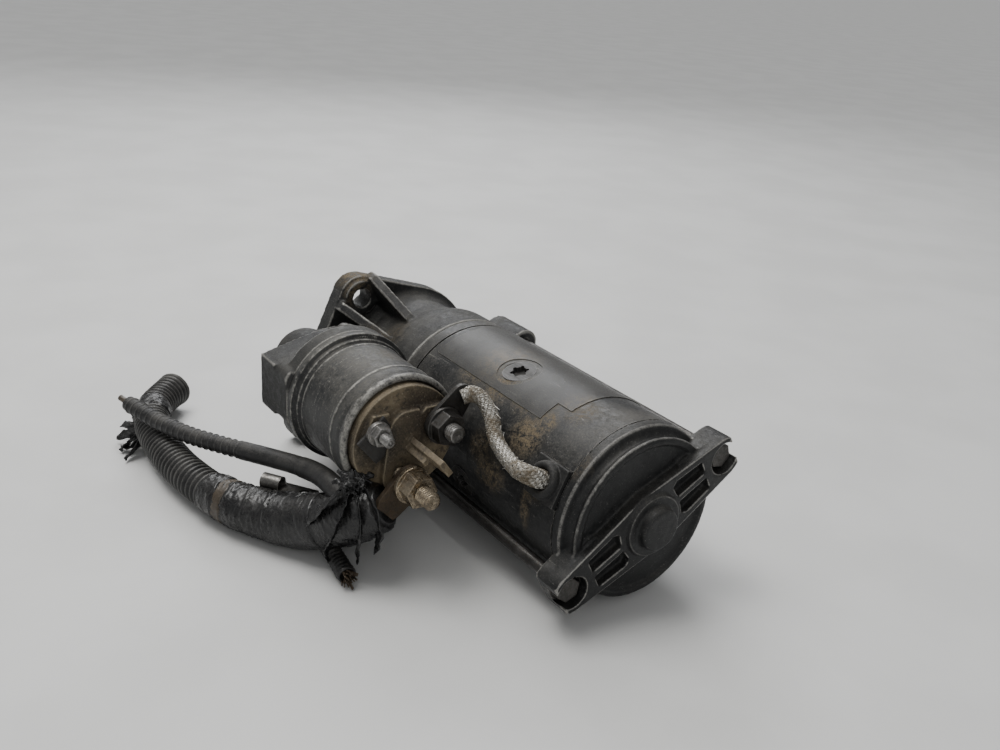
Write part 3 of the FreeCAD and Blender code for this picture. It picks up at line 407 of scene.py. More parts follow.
# ------------------------------------------------------------------ materials
class Mat:
    """A node material. Its coordinates are the piece's own, in millimetres of the row frame."""

    def __init__(self, name):
        self.m = bpy.data.materials.new(name)
        self.m.use_nodes = True
        self.t = self.m.node_tree
        self.t.nodes.clear()
        self.out = self.n("ShaderNodeOutputMaterial")
        self.b = self.n("ShaderNodeBsdfPrincipled")
        self.link(self.b.outputs[0], self.out.inputs[0])
        tc = self.n("ShaderNodeTexCoord")
        self.geo = self.n("ShaderNodeNewGeometry")
        mp = self.n("ShaderNodeMapping")
        mp.inputs["Scale"].default_value = (1000, 1000, 1000)
        self.link(tc.outputs["Object"], mp.inputs["Vector"])
        self.p = mp.outputs[0]

    def n(self, kind):
        return self.t.nodes.new(kind)

    def link(self, a, b):
        self.t.links.new(a, b)

    def put(self, sock, v):
        if hasattr(v, "links") or isinstance(v, bpy.types.NodeSocket):
            self.link(v, sock)
        else:
            sock.default_value = v

    def math(self, op, a, b=0.0, clamp=False):
        q = self.n("ShaderNodeMath")
        q.operation = op
        q.use_clamp = clamp
        self.put(q.inputs[0], a)
        self.put(q.inputs[1], b)
        return q.outputs[0]

    def mul(self, a, b):
        return self.math("MULTIPLY", a, b)

    def add(self, a, b):
        return self.math("ADD", a, b, True)

    def ramp(self, v, lo, hi, a=0.0, b=1.0):
        q = self.n("ShaderNodeMapRange")
        q.interpolation_type = "SMOOTHSTEP"
        self.put(q.inputs["Value"], v)
        q.inputs["From Min"].default_value = lo
        q.inputs["From Max"].default_value = hi
        q.inputs["To Min"].default_value = a
        q.inputs["To Max"].default_value = b
        return q.outputs[0]

    def map(self, scale=(1, 1, 1), rot=(0, 0, 0), loc=(0, 0, 0), vec=None):
        q = self.n("ShaderNodeMapping")
        self.link(vec or self.p, q.inputs["Vector"])
        q.inputs["Scale"].default_value = scale
        q.inputs["Rotation"].default_value = rot
        q.inputs["Location"].default_value = loc
        return q.outputs[0]

    def noise(self, scale, detail=4.0, rough=0.6, vec=None, dist=0.0):
        q = self.n("ShaderNodeTexNoise")
        self.link(vec or self.p, q.inputs["Vector"])
        q.inputs["Scale"].default_value = scale
        q.inputs["Detail"].default_value = detail
        q.inputs["Roughness"].default_value = rough
        q.inputs["Distortion"].default_value = dist
        return q.outputs["Fac"]

    def cells(self, scale, vec=None, out="Distance", feature="F1"):
        q = self.n("ShaderNodeTexVoronoi")
        q.feature = feature
        self.link(vec or self.p, q.inputs["Vector"])
        q.inputs["Scale"].default_value = scale
        return q.outputs[out]

    def mix(self, f, a, b):
        q = self.n("ShaderNodeMix")
        q.data_type = "RGBA"
        self.put(q.inputs[0], f)
        for s, v in ((q.inputs[6], a), (q.inputs[7], b)):
            if isinstance(v, (tuple, list)):
                s.default_value = (*v, 1.0)
            else:
                self.link(v, s)
        return q.outputs[2]

    def xyz(self, vec=None):
        q = self.n("ShaderNodeSeparateXYZ")
        self.link(vec or self.p, q.inputs[0])
        return q.outputs

    def blob(self, centre, radius, squash=(1, 1, 1)):
        q = self.n("ShaderNodeVectorMath")
        q.operation = "DISTANCE"
        c = tuple(centre[i] * squash[i] for i in range(3))
        self.link(self.map(scale=squash), q.inputs[0])
        q.inputs[1].default_value = c
        return self.ramp(q.outputs["Value"], radius, radius * 0.25)

    def up(self):
        return self.ramp(self.xyz(self.geo.outputs["Normal"])[2], 0.0, 0.95)

    def attribute(self, name="edge"):
        q = self.n("ShaderNodeAttribute")
        q.attribute_name = name
        return q.outputs["Fac"]

    def rim(self, radius=0.5):
        """Where an edge is, from the difference between the rounded and the true normal."""
        q = self.n("ShaderNodeBevel")
        q.samples = 4
        q.inputs["Radius"].default_value = radius * MM
        d = self.n("ShaderNodeVectorMath")
        d.operation = "DOT_PRODUCT"
        self.link(q.outputs[0], d.inputs[0])
        self.link(self.geo.outputs["Normal"], d.inputs[1])
        return self.ramp(self.math("SUBTRACT", 1.0, d.outputs["Value"]), 0.01, 0.2)

    def bump(self, h, depth, normal=None, strength=1.0):
        q = self.n("ShaderNodeBump")
        q.inputs["Strength"].default_value = strength
        q.inputs["Distance"].default_value = depth * MM
        self.link(h, q.inputs["Height"])
        if normal is not None:
            self.link(normal, q.inputs["Normal"])
        return q.outputs[0]

    def done(self, colour, rough, metal=0.0, normal=None, **fixed):
        for key, v in (("Base Color", colour), ("Roughness", rough), ("Metallic", metal)):
            s = self.b.inputs[key]
            if isinstance(v, (tuple, list)):
                s.default_value = (*v, 1.0)
            else:
                self.put(s, v)
        if normal is not None:
            self.link(normal, self.b.inputs["Normal"])
        for k, v in fixed.items():
            self.b.inputs[k].default_value = v
        return self.m


def worn(name, base, alt, rough=(0.38, 0.62), bare=(0.42, 0.41, 0.39), edge=None, edge_at=(0.25, 0.6), scratch=0.5, speck=0.5, dust=0.3,
         dust_col=(0.105, 0.097, 0.082), blobs=(), blob_col=(0.118, 0.091, 0.055), grain=0.35, depth=0.09, metal=0.0, streak=(0.05, 0.8, 0.8), bare_metal=0.6, fine=1.9, spec=0.28, edge_noise=0.5, highlight_crests=()):
    """Painted or blackened metal with patches, fine scratches, light specks, dust on top, bare metal where it rubs, and
    a painted highlight along the listed rib crests.
    """
    k = Mat(name)
    tone = k.noise(0.045, 5, 0.62)
    patch = k.noise(0.42, 7, 0.68)
    small = k.noise(fine, 4, 0.7)
    col = k.mix(k.ramp(k.math("ADD", k.mul(tone, 0.55), k.mul(patch, 0.45)), 0.38, 0.62), base, alt)
    # thin lines
    a = k.noise(1.0, 6, 0.66, k.map(streak, (0.0, 0.22, 0.31)), 1.3)
    b = k.noise(1.0, 6, 0.66, k.map((streak[0] * 2.2, streak[1] * 0.7, streak[2] * 0.7), (0.5, 0.4, -0.75)), 1.1)
    lines = k.math("MAXIMUM", k.ramp(a, 0.595, 0.67), k.ramp(b, 0.60, 0.68))
    lines = k.mul(k.mul(lines, k.ramp(k.noise(0.14, 3), 0.42, 0.62)), k.ramp(small, 0.40, 0.60))
    lines = k.mul(lines, scratch)
    # light specks, in groups
    dots = k.ramp(k.cells(0.5), 0.20, 0.09)
    dots = k.mul(dots, k.ramp(k.noise(0.11, 4, 0.6, k.map(loc=(31, 7, 5))), 0.5, 0.66))
    mott = k.mul(k.ramp(small, 0.53, 0.68), k.ramp(patch, 0.42, 0.62))
    light = k.math("MAXIMUM", k.mul(dots, speck), k.mul(mott, speck * 0.55))
    col = k.mix(k.mul(light, 0.7), col, tuple(c * 0.75 for c in bare))
    # dust
    d = k.mul(k.mul(k.up(), k.ramp(k.math("ADD", k.mul(tone, 0.5), k.mul(small, 0.5)), 0.40, 0.64)), dust)
    col = k.mix(d, col, dust_col)
    stain = None
    for (c, r, sq, amount) in blobs:
        m = k.mul(k.mul(k.blob(c, r, sq), k.ramp(k.math("ADD", k.mul(patch, 0.6), k.mul(small, 0.4)), 0.40, 0.60)), amount)
        stain = m if stain is None else k.math("MAXIMUM", stain, m)
    if stain is not None:
        col = k.mix(stain, col, k.mix(k.ramp(small, 0.4, 0.65), blob_col, tuple(c * 1.35 for c in blob_col)))
    wear_and_crest_highlight = lines
    if edge == "attribute":
        e = k.ramp(k.math("ADD", k.attribute(), k.mul(k.math("SUBTRACT", patch, 0.5), edge_noise)), *edge_at)
        wear_and_crest_highlight = k.math("MAXIMUM", lines, k.mul(e, k.ramp(small, 0.30, 0.55, 0.35, 1.0)))
    elif edge == "bevel":
        e = k.mul(k.rim(0.45), k.ramp(patch, 0.36, 0.58, 0.15, 0.95))
        wear_and_crest_highlight = k.math("MAXIMUM", lines, e)
    # painted highlight: a band of the bare-metal colour along each listed rib crest
    if highlight_crests:
        x, y, z = k.xyz()[:3]
        r = k.math("SQRT", k.math("ADD", k.mul(y, y), k.mul(z, z)))
        for (x0, half, r0, amount) in highlight_crests:
            c = k.mul(k.ramp(k.math("ABSOLUTE", k.math("SUBTRACT", x, x0)), half, half * 0.3), k.mul(k.ramp(r, r0, r0 + 0.8), k.ramp(r, r0 + 2.4, r0 + 1.7)))
            c = k.mul(k.mul(c, k.ramp(k.math("ADD", k.mul(patch, 0.5), k.mul(small, 0.5)), 0.40, 0.56, 0.25, 1.0)), amount)
            wear_and_crest_highlight = k.math("MAXIMUM", wear_and_crest_highlight, c)
    # real wear and the painted crest highlight both take the bare-metal colour
    col = k.mix(wear_and_crest_highlight, col, bare)
    rg = k.math("ADD", k.ramp(patch, 0.35, 0.65, rough[0], rough[1]), k.mul(d, 0.25))
    if stain is not None:
        rg = k.math("ADD", rg, k.mul(stain, 0.3))
    rg = k.math("SUBTRACT", rg, k.mul(wear_and_crest_highlight, 0.08), True)
    h = k.math("ADD", k.mul(small, grain), k.math("ADD", k.mul(patch, 0.6), k.mul(wear_and_crest_highlight, -0.25)))
    mt = k.math("MAXIMUM", metal, k.mul(wear_and_crest_highlight, bare_metal)) if metal == 0.0 else metal
    return k.done(col, rg, mt, k.bump(h, depth), **{"Specular IOR Level": spec})


def yoke_paint():
    return worn("yoke_paint", (0.0085, 0.0088, 0.0092), (0.021, 0.0215, 0.0215), (0.32, 0.56), bare=(0.24, 0.23, 0.21), scratch=0.6, speck=0.8, dust=0.5, fine=1.3, edge="bevel",
                blobs=[((-150.6, 16.1, 36.6), 17, (1, 1, 1), 0.95), ((-162, 30.0, 25.0), 13, (1, 1, 1), 0.95), ((-130, 22.0, 33.4), 13, (1, 1, 1), 0.8),
                       ((-176.9, 39.9, 2.2), 11, (2.4, 1, 0.7), 0.75), ((-150, 39.5, 4), 12, (0.8, 1, 1.2), 0.7), ((-110, 18.4, 35.4), 15, (1, 1, 1), 0.85), ((-165, 24.0, 32.0), 9, (1, 1, 1), 0.9),
                       ((-182.0, 36.5, 16.0), 8, (1, 1, 0.6), 0.7), ((-140, 38.0, 12.0), 10, (1, 1, 1), 0.5),
                       ((-174.0, 12.0, 38.0), 11, (1, 1, 1), 0.45)], depth=0.07, grain=0.25)


def cast_black():
    return worn("cast_black", (0.0085, 0.0088, 0.0092), (0.023, 0.0235, 0.023), (0.42, 0.68), bare=(0.25, 0.243, 0.225), edge="attribute", edge_at=(0.25, 0.95), edge_noise=0.8, scratch=0.4, speck=0.6,
                dust=0.35, blobs=[((-4.0, 30.0, 50.0), 15, (1, 1, 1), 1.0), ((-14.0, 33.0, 43.0), 11, (1, 1, 1), 0.8), ((-40.0, 30.0, 30.0), 16, (1, 1, 1), 0.35)], grain=0.9, depth=0.14, fine=1.5)


def cover_black():
    # the two outer rib crests carry a painted highlight, laid on as worn paint
    return worn("cover_black", (0.0080, 0.0083, 0.0087), (0.020, 0.0205, 0.0205), (0.36, 0.62), bare=(0.27, 0.262, 0.245), edge="attribute", edge_at=(0.20, 0.85), edge_noise=0.7, highlight_crests=[(-199.5, 0.9, 38.6, 0.6), (-205.9, 0.8, 35.6, 0.4)], scratch=0.35, speck=0.5,
                dust=0.30, blobs=[((-195.0, 30.0, 28.0), 9, (1, 1, 1), 0.3)], grain=0.8, depth=0.11, fine=1.7)


def can_paint():
    k = worn("can_paint", (0.014, 0.0145, 0.015), (0.042, 0.0425, 0.0415), (0.36, 0.60), bare=(0.27, 0.262, 0.24), edge="attribute", edge_at=(0.66, 1.2), edge_noise=1.7, scratch=1.0, speck=1.0, fine=1.0,
             dust=0.6, blobs=[((-100, 60.0, 45.0), 10, (1, 1, 1), 0.2)], streak=(0.9, 0.05, 0.05), grain=0.25, depth=0.07)
    return k


def steel(name, base=(0.30, 0.295, 0.285), alt=(0.16, 0.155, 0.15), rough=(0.28, 0.5), rust=0.25, dark=0.0, brushed=(0.05, 1.2, 1.2), metal=1.0, edge=None, rust_col=(0.16, 0.085, 0.04)):
    k = Mat(name)
    tone = k.noise(0.12, 4)
    fine = k.noise(1.0, 4, 0.6, k.map(brushed))
    small = k.noise(1.3, 5, 0.7)
    col = k.mix(k.ramp(k.math("ADD", k.mul(tone, 0.5), k.mul(small, 0.5)), 0.36, 0.64), base, alt)
    r = k.mul(k.ramp(small, 0.52, 0.68), rust)
    col = k.mix(r, col, rust_col)
    grime = k.mul(k.ramp(k.noise(0.5, 6, 0.7, k.map(loc=(9, 4, 2))), 0.46, 0.62), dark)
    col = k.mix(grime, col, (0.02, 0.019, 0.018))
    if edge == "bevel":
        col = k.mix(k.mul(k.rim(0.35), k.ramp(small, 0.3, 0.6, 0.2, 0.9)), col, tuple(min(1, c * 2.0 + 0.08) for c in base))
    rg = k.math("ADD", k.ramp(fine, 0.35, 0.65, rough[0], rough[1]), k.mul(k.math("ADD", r, grime), 0.3), True)
    mt = k.math("SUBTRACT", metal, k.mul(k.math("ADD", r, grime), 0.7), True)
    h = k.math("ADD", k.mul(fine, 0.4), k.mul(small, 0.5))
    return k.done(col, rg, mt, k.bump(h, 0.03))


def phenolic():
    k = Mat("phenolic_tan")
    tone = k.noise(0.09, 5)
    small = k.noise(1.2, 6, 0.72)
    flow = k.noise(1.0, 4, 0.6, k.map((0.6, 0.12, 0.12), (0, 0, 0.6)))
    col = k.mix(k.ramp(k.math("ADD", k.mul(tone, 0.5), k.mul(flow, 0.5)), 0.38, 0.62), (0.118, 0.091, 0.054), (0.205, 0.163, 0.103))
    # darker, oil-stained middle
    mid = k.mul(k.blob((-131.0, 61.0, 30.0), 21, (0.5, 1, 1)), k.ramp(small, 0.3, 0.55, 0.6, 1.0))
    col = k.mix(mid, col, (0.032, 0.023, 0.014))
    low = k.mul(k.blob((-131.0, 84.0, 20.0), 20, (0.4, 1, 1)), k.ramp(small, 0.3, 0.55, 0.6, 1.0))
    col = k.mix(low, col, (0.022, 0.018, 0.013))
    g = k.mul(k.ramp(k.noise(0.35, 6, 0.7, k.map(loc=(3, 8, 1))), 0.48, 0.66), 0.75)
    col = k.mix(g, col, (0.024, 0.020, 0.015))
    pale = k.mul(k.ramp(k.noise(0.8, 5, 0.7, k.map(loc=(13, 2, 7))), 0.58, 0.70), 0.6)
    col = k.mix(pale, col, (0.30, 0.255, 0.175))
    e = k.mul(k.mul(k.ramp(k.attribute(), 0.45, 1.0), k.ramp(small, 0.35, 0.6)), 0.6)
    col = k.mix(e, col, (0.28, 0.235, 0.155))
    rg = k.ramp(small, 0.35, 0.65, 0.55, 0.85)
    return k.done(col, rg, 0.0, k.bump(k.math("ADD", k.mul(small, 0.7), k.mul(flow, 0.4)), 0.09))


def plastic(name, base, alt, rough=(0.35, 0.6), dust=0.25, depth=0.05, wrinkle=0.0, grey=0.25, coat=0.0, spec=0.5, tone_scale=0.08):
    k = Mat(name)
    tone = k.noise(tone_scale, 5)
    small = k.noise(1.4, 5, 0.7)
    wr = k.noise(0.32, 5, 0.62, None, 1.4)
    col = k.mix(k.ramp(k.math("ADD", k.mul(tone, 0.5), k.mul(small, 0.5)), 0.38, 0.62), base, alt)
    d = k.mul(k.mul(k.up(), k.ramp(k.math("ADD", k.mul(tone, 0.4), k.mul(small, 0.6)), 0.42, 0.62)), dust)
    col = k.mix(d, col, (0.095, 0.088, 0.076))
    sp = k.mul(k.ramp(k.cells(0.7), 0.15, 0.07), k.ramp(k.noise(0.2, 3), 0.5, 0.64))
    col = k.mix(k.mul(sp, grey), col, (0.17, 0.165, 0.15))
    # painted highlight: rib tops and sharp edges, where the edge attribute is high, are lightened to grey
    painted_rib_highlight = k.mul(k.mul(k.ramp(k.attribute(), 0.62, 1.0), k.ramp(k.math("ADD", k.mul(small, 0.5), k.mul(tone, 0.5)), 0.40, 0.60, 0.25, 1.0)), 0.75)
    col = k.mix(painted_rib_highlight, col, (0.105, 0.102, 0.095))
    rg = k.math("ADD", k.ramp(k.math("ADD", k.mul(small, 0.4), k.mul(wr, 0.6)), 0.38, 0.62, rough[0], rough[1]), k.mul(d, 0.3), True)
    h = k.math("ADD", k.mul(small, 0.3), k.mul(wr, wrinkle))
    return k.done(col, rg, 0.0, k.bump(h, depth), **{"Coat Weight": coat, "Coat Roughness": 0.22, "Specular IOR Level": spec})


def braid_metal(name="braid_wire", low=(0.42, 0.405, 0.37), high=(0.78, 0.765, 0.72)):
    k = Mat(name)
    small = k.noise(1.1, 5, 0.7)
    tone = k.noise(0.16, 4, 0.6)
    col = k.mix(k.ramp(small, 0.36, 0.62), low, high)
    dirt = k.mul(k.ramp(k.math("ADD", k.mul(tone, 0.6), k.mul(small, 0.4)), 0.44, 0.62), 0.9)
    col = k.mix(dirt, col, (0.125, 0.095, 0.055))
    rg = k.math("ADD", k.ramp(small, 0.35, 0.65, 0.34, 0.50), k.mul(dirt, 0.3), True)
    mt = k.math("SUBTRACT", 0.85, k.mul(dirt, 0.7), True)
    return k.done(col, rg, mt, k.bump(small, 0.03))


def copper(name, base, alt, rough=(0.3, 0.5), tarnish=0.3, wound=0.0):
    k = Mat(name)
    small = k.noise(1.2, 5, 0.7)
    tone = k.noise(0.15, 4, 0.6)
    col = k.mix(k.ramp(small, 0.36, 0.64), base, alt)
    g = k.mul(k.ramp(k.math("ADD", k.mul(tone, 0.6), k.mul(small, 0.4)), 0.46, 0.66), tarnish)
    col = k.mix(g, col, (0.07, 0.045, 0.03))
    h = small
    if wound:
        q = k.n("ShaderNodeTexWave")
        q.bands_direction = "DIAGONAL"
        k.link(k.p, q.inputs["Vector"])
        q.inputs["Scale"].default_value = wound
        q.inputs["Distortion"].default_value = 0.6
        h = k.math("ADD", k.mul(q.outputs["Fac"], 1.0), k.mul(small, 0.2))
        # painted shade: the grooves between the turns are darkened
        col = k.mix(k.ramp(q.outputs["Fac"], 0.35, 0.0, 0.0, 0.7), col, tuple(c * 0.25 for c in base))
    rg = k.math("ADD", k.ramp(small, 0.35, 0.65, rough[0], rough[1]), k.mul(g, 0.3), True)
    return k.done(col, rg, k.math("SUBTRACT", 0.95, k.mul(g, 0.6), True), k.bump(h, 0.05 if not wound else 0.15))


def laminated():
    k = Mat("laminated_steel")
    small = k.noise(1.2, 4, 0.7)
    q = k.n("ShaderNodeTexWave")
    q.bands_direction = "X"
    k.link(k.p, q.inputs["Vector"])
    q.inputs["Scale"].default_value = 0.32
    q.inputs["Distortion"].default_value = 0.05
    col = k.mix(k.ramp(q.outputs["Fac"], 0.3, 0.0, 0.0, 0.8), (0.25, 0.245, 0.24), (0.05, 0.048, 0.045))
    col = k.mix(k.mul(k.ramp(small, 0.5, 0.7), 0.4), col, (0.14, 0.08, 0.045))
    return k.done(col, k.ramp(small, 0.35, 0.65, 0.35, 0.6), 0.85, k.bump(q.outputs["Fac"], 0.08))


def foil():
    k = Mat("plate_foil")
    small = k.noise(1.4, 5, 0.7)
    tone = k.noise(0.07, 5, 0.6)
    col = k.mix(k.ramp(tone, 0.4, 0.6), (0.0095, 0.0098, 0.0100), (0.024, 0.0245, 0.024))
    line = k.noise(1.0, 6, 0.66, k.map((0.07, 0.8, 0.8), (0.1, 0.2, 0.4)), 1.4)
    sc = k.mul(k.mul(k.ramp(line, 0.60, 0.68), k.ramp(small, 0.4, 0.6)), 0.5)
    col = k.mix(sc, col, (0.22, 0.21, 0.19))
    col = k.mix(k.mul(k.mul(k.rim(0.5), 0.7), k.ramp(small, 0.35, 0.6)), col, (0.24, 0.22, 0.185))
    d = k.mul(k.mul(k.up(), k.ramp(small, 0.4, 0.62)), 0.28)
    col = k.mix(d, col, (0.10, 0.088, 0.068))
    st = k.math("MAXIMUM", k.blob((-172.0, 10.0, 38.5), 13, (1, 1, 1)), k.mul(k.blob((-118.0, 9.0, 39.0), 20, (1, 1, 1)), 0.8))
    st = k.mul(st, k.ramp(k.math("ADD", k.mul(small, 0.4), k.mul(k.noise(0.3, 6, 0.7), 0.6)), 0.42, 0.58))
    col = k.mix(k.mul(st, 0.85), col, (0.105, 0.082, 0.050))
    return k.done(col, k.ramp(small, 0.35, 0.65, 0.34, 0.56), 0.0, k.bump(k.math("ADD", small, k.mul(line, 0.4)), 0.05), **{"Specular IOR Level": 0.3})


M = {
    "paint_black": yoke_paint(), "cast_black": cast_black(), "foil_dark": foil(),
    "steel_dark": steel("steel_dark", (0.105, 0.102, 0.097), (0.045, 0.044, 0.042), (0.34, 0.55), 0.22, 0.35, edge="bevel"),
    "steel_dull": steel("steel_dull", (0.30, 0.295, 0.285), (0.17, 0.165, 0.155), (0.28, 0.48), 0.2, 0.3, edge="bevel"),
    "copper": copper("copper_wound", (0.55, 0.24, 0.11), (0.40, 0.16, 0.07), (0.3, 0.5), 0.3, 1.1),
    "copper_old": steel("copper_old", (0.082, 0.060, 0.038), (0.038, 0.029, 0.020), (0.4, 0.65), 0.3, 0.35, metal=0.7, edge="bevel"),
    "copper_bright": copper("copper_bright", (0.75, 0.36, 0.18), (0.62, 0.28, 0.13), (0.2, 0.35), 0.15),
    "bronze": copper("bronze", (0.50, 0.33, 0.14), (0.38, 0.24, 0.10), (0.35, 0.5), 0.25),
    "brass": steel("brass_old", (0.42, 0.355, 0.26), (0.17, 0.132, 0.088), (0.20, 0.42), 0.2, 0.55, metal=0.95, edge="bevel", rust_col=(0.14, 0.085, 0.045)),
    "tinned_braid": braid_metal(),
    "rubber": plastic("rubber_black", (0.009, 0.009, 0.009), (0.020, 0.020, 0.020), (0.55, 0.8), 0.45, 0.06, 0.0, 0.25, 0.0, 0.35),
    "phenolic": phenolic(),
    "nylon": plastic("nylon_dark", (0.05, 0.045, 0.038), (0.09, 0.08, 0.07), (0.45, 0.6), 0.1, 0.04),
    "carbon": plastic("carbon_brush", (0.03, 0.025, 0.022), (0.07, 0.05, 0.04), (0.4, 0.6), 0.1, 0.05),
    "conduit": plastic("conduit_black", (0.0075, 0.0075, 0.0078), (0.018, 0.018, 0.018), (0.32, 0.54), 0.4, 0.05, 0.2, 0.4, 0.0, 0.35),
    "tape": plastic("tape_gloss", (0.0045, 0.0045, 0.0048), (0.012, 0.012, 0.0125), (0.22, 0.46), 0.18, 0.14, 1.1, 0.35, 0.12, 0.38),
}
# a darker copy of the braid wire: painted shade on one hand of the weave
M["braid_shaded"] = braid_metal("braid_wire_shaded", (0.16, 0.145, 0.12), (0.36, 0.34, 0.30))
M["cover"] = cover_black()
M["can"] = can_paint()
M["laminated"] = laminated()
M["sleeve"] = plastic("sleeve_black", (0.0085, 0.0085, 0.009), (0.022, 0.022, 0.022), (0.40, 0.62), 0.45, 0.05, 0.15, 0.5, 0.0, 0.35)
M["tape_brown"] = plastic("tape_brown", (0.030, 0.022, 0.014), (0.070, 0.052, 0.032), (0.3, 0.55), 0.25, 0.10, 0.7, 0.3)
M["lug_dark"] = steel("lug_dark", (0.036, 0.034, 0.031), (0.018, 0.017, 0.016), (0.36, 0.6), 0.12, 0.3, metal=0.6, edge="bevel")
M["tin"] = steel("tin_grey", (0.22, 0.213, 0.20), (0.10, 0.097, 0.09), (0.28, 0.46), 0.15, 0.45, edge="bevel")
M["screw_dark"] = steel("screw_dark", (0.040, 0.039, 0.037), (0.017, 0.017, 0.016), (0.40, 0.62), 0.15, 0.35, metal=0.35, edge="bevel")
M["gear"] = steel("gear_steel", (0.40, 0.395, 0.38), (0.26, 0.255, 0.245), (0.22, 0.38), 0.08, 0.25, edge="bevel")
M["inside"] = plastic("inside_dark", (0.010, 0.010, 0.010), (0.022, 0.022, 0.022), (0.6, 0.8), 0.1, 0.05)

for sub in frame["record"]["subparts"]:
    node = sub["node"]
    ob = NODES[node]
    mat = M[sub["material_slot"]]
    if node == "armature_core":
        mat = M["laminated"]
    if node in ("pinion", "output_shaft", "armature_shaft", "planet_gear_1", "planet_gear_2", "planet_gear_3", "ring_gear"):
        mat = M["gear"]
    if node == "motor_lead_lug":
        mat = M["lug_dark"]
    if node == "harness_eyelet":
        mat = M["tin"]
    if node in ("pole_screws", "signal_plate"):
        mat = M["screw_dark"]
    ob.data.materials.clear()
    ob.data.materials.append(mat)


def dress(ob, key):
    ob.data.materials.clear()
    ob.data.materials.append(M[key])
    return ob


# ------------------------------------------------------------------ castings and mouldings with rounded edges
house = dress(softened("drive_end_housing", 0.82, 3, "drive_housing_casting", 0.10, 0.35), "cast_black")
cover = dress(softened("rear_cover", 0.52, 3, "rear_cover_casting", 0.07, 0.45), "cover")
cap = dress(softened("solenoid_cap", 0.36, 4, "solenoid_cap_moulding", 0.05, 0.6), "phenolic")
grom = dress(softened("lead_grommet", 0.28, 6, "lead_grommet_rubber", 0.03, 0.8), "rubber")


# ------------------------------------------------------------------ solenoid can, with its rolled rim and bead
SY0, SZ0 = 70.2, 18.05
CAN = [(70.2, 25.05, 0.2), (69.2, 25.3, 0.8), (68.8, 25.9, 1.0), (68.75, 26.6, 1.0), (69.1, 27.3, 1.0), (69.9, 27.8, 1.0), (71.0, 28.0, 0.9), (72.1, 27.9, 0.6), (72.8, 27.5, 0.1), (73.3, 27.05, 0.0),
       (73.9, 26.9, 0.0), (74.6, 27.05, 0.1), (75.3, 27.35, 0.2), (76.6, 27.5, 0.1), (78.6, 27.5, 0.05), (79.5, 27.55, 0.3), (80.1, 27.85, 0.9), (80.7, 27.95, 1.0), (81.3, 27.85, 0.8), (81.9, 27.55, 0.2),
       (83.0, 27.5, 0.05), (86.0, 27.52, 0.0), (90.0, 27.5, 0.0), (94.0, 27.52, 0.0), (98.0, 27.5, 0.0), (102.0, 27.5, 0.0), (105.6, 27.5, 0.0), (107.2, 27.55, 0.2), (107.9, 27.9, 0.9), (108.4, 28.0, 1.0),
       (108.9, 27.8, 0.6), (109.4, 27.55, 0.0), (110.0, 27.6, 0.0), (110.5, 28.3, 0.5), (110.8, 28.9, 1.0), (111.2, 29.0, 0.8), (112.4, 29.0, 0.1), (112.7, 29.3, 0.0), (112.8, 30.4, 0.3), (113.1, 30.9, 1.0),
       (113.6, 31.0, 0.8), (116.6, 31.0, 0.5), (117.0, 30.6, 0.9), (117.0, 9.85, 0.0), (112.8, 9.85, 0.0), (112.8, 25.35, 0.0), (92.0, 25.4, 0.0), (73.2, 25.4, 0.0), (71.2, 25.2, 0.0)]


def with_edge(ob, prof, segs):
    at = ob.data.attributes.new("edge", "FLOAT", "POINT")
    vals = np.tile(np.array([w for (_, _, w) in prof], np.float32), segs)
    at.data.foreach_set("value", vals)
    return ob


can = lathe("solenoid_can_shell", [(u, r) for (u, r, _) in CAN], SY0, SZ0, 220, "housing", 0.10, 2.0)
with_edge(can, CAN, 220)
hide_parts("solenoid_can")
dress(can, "can")


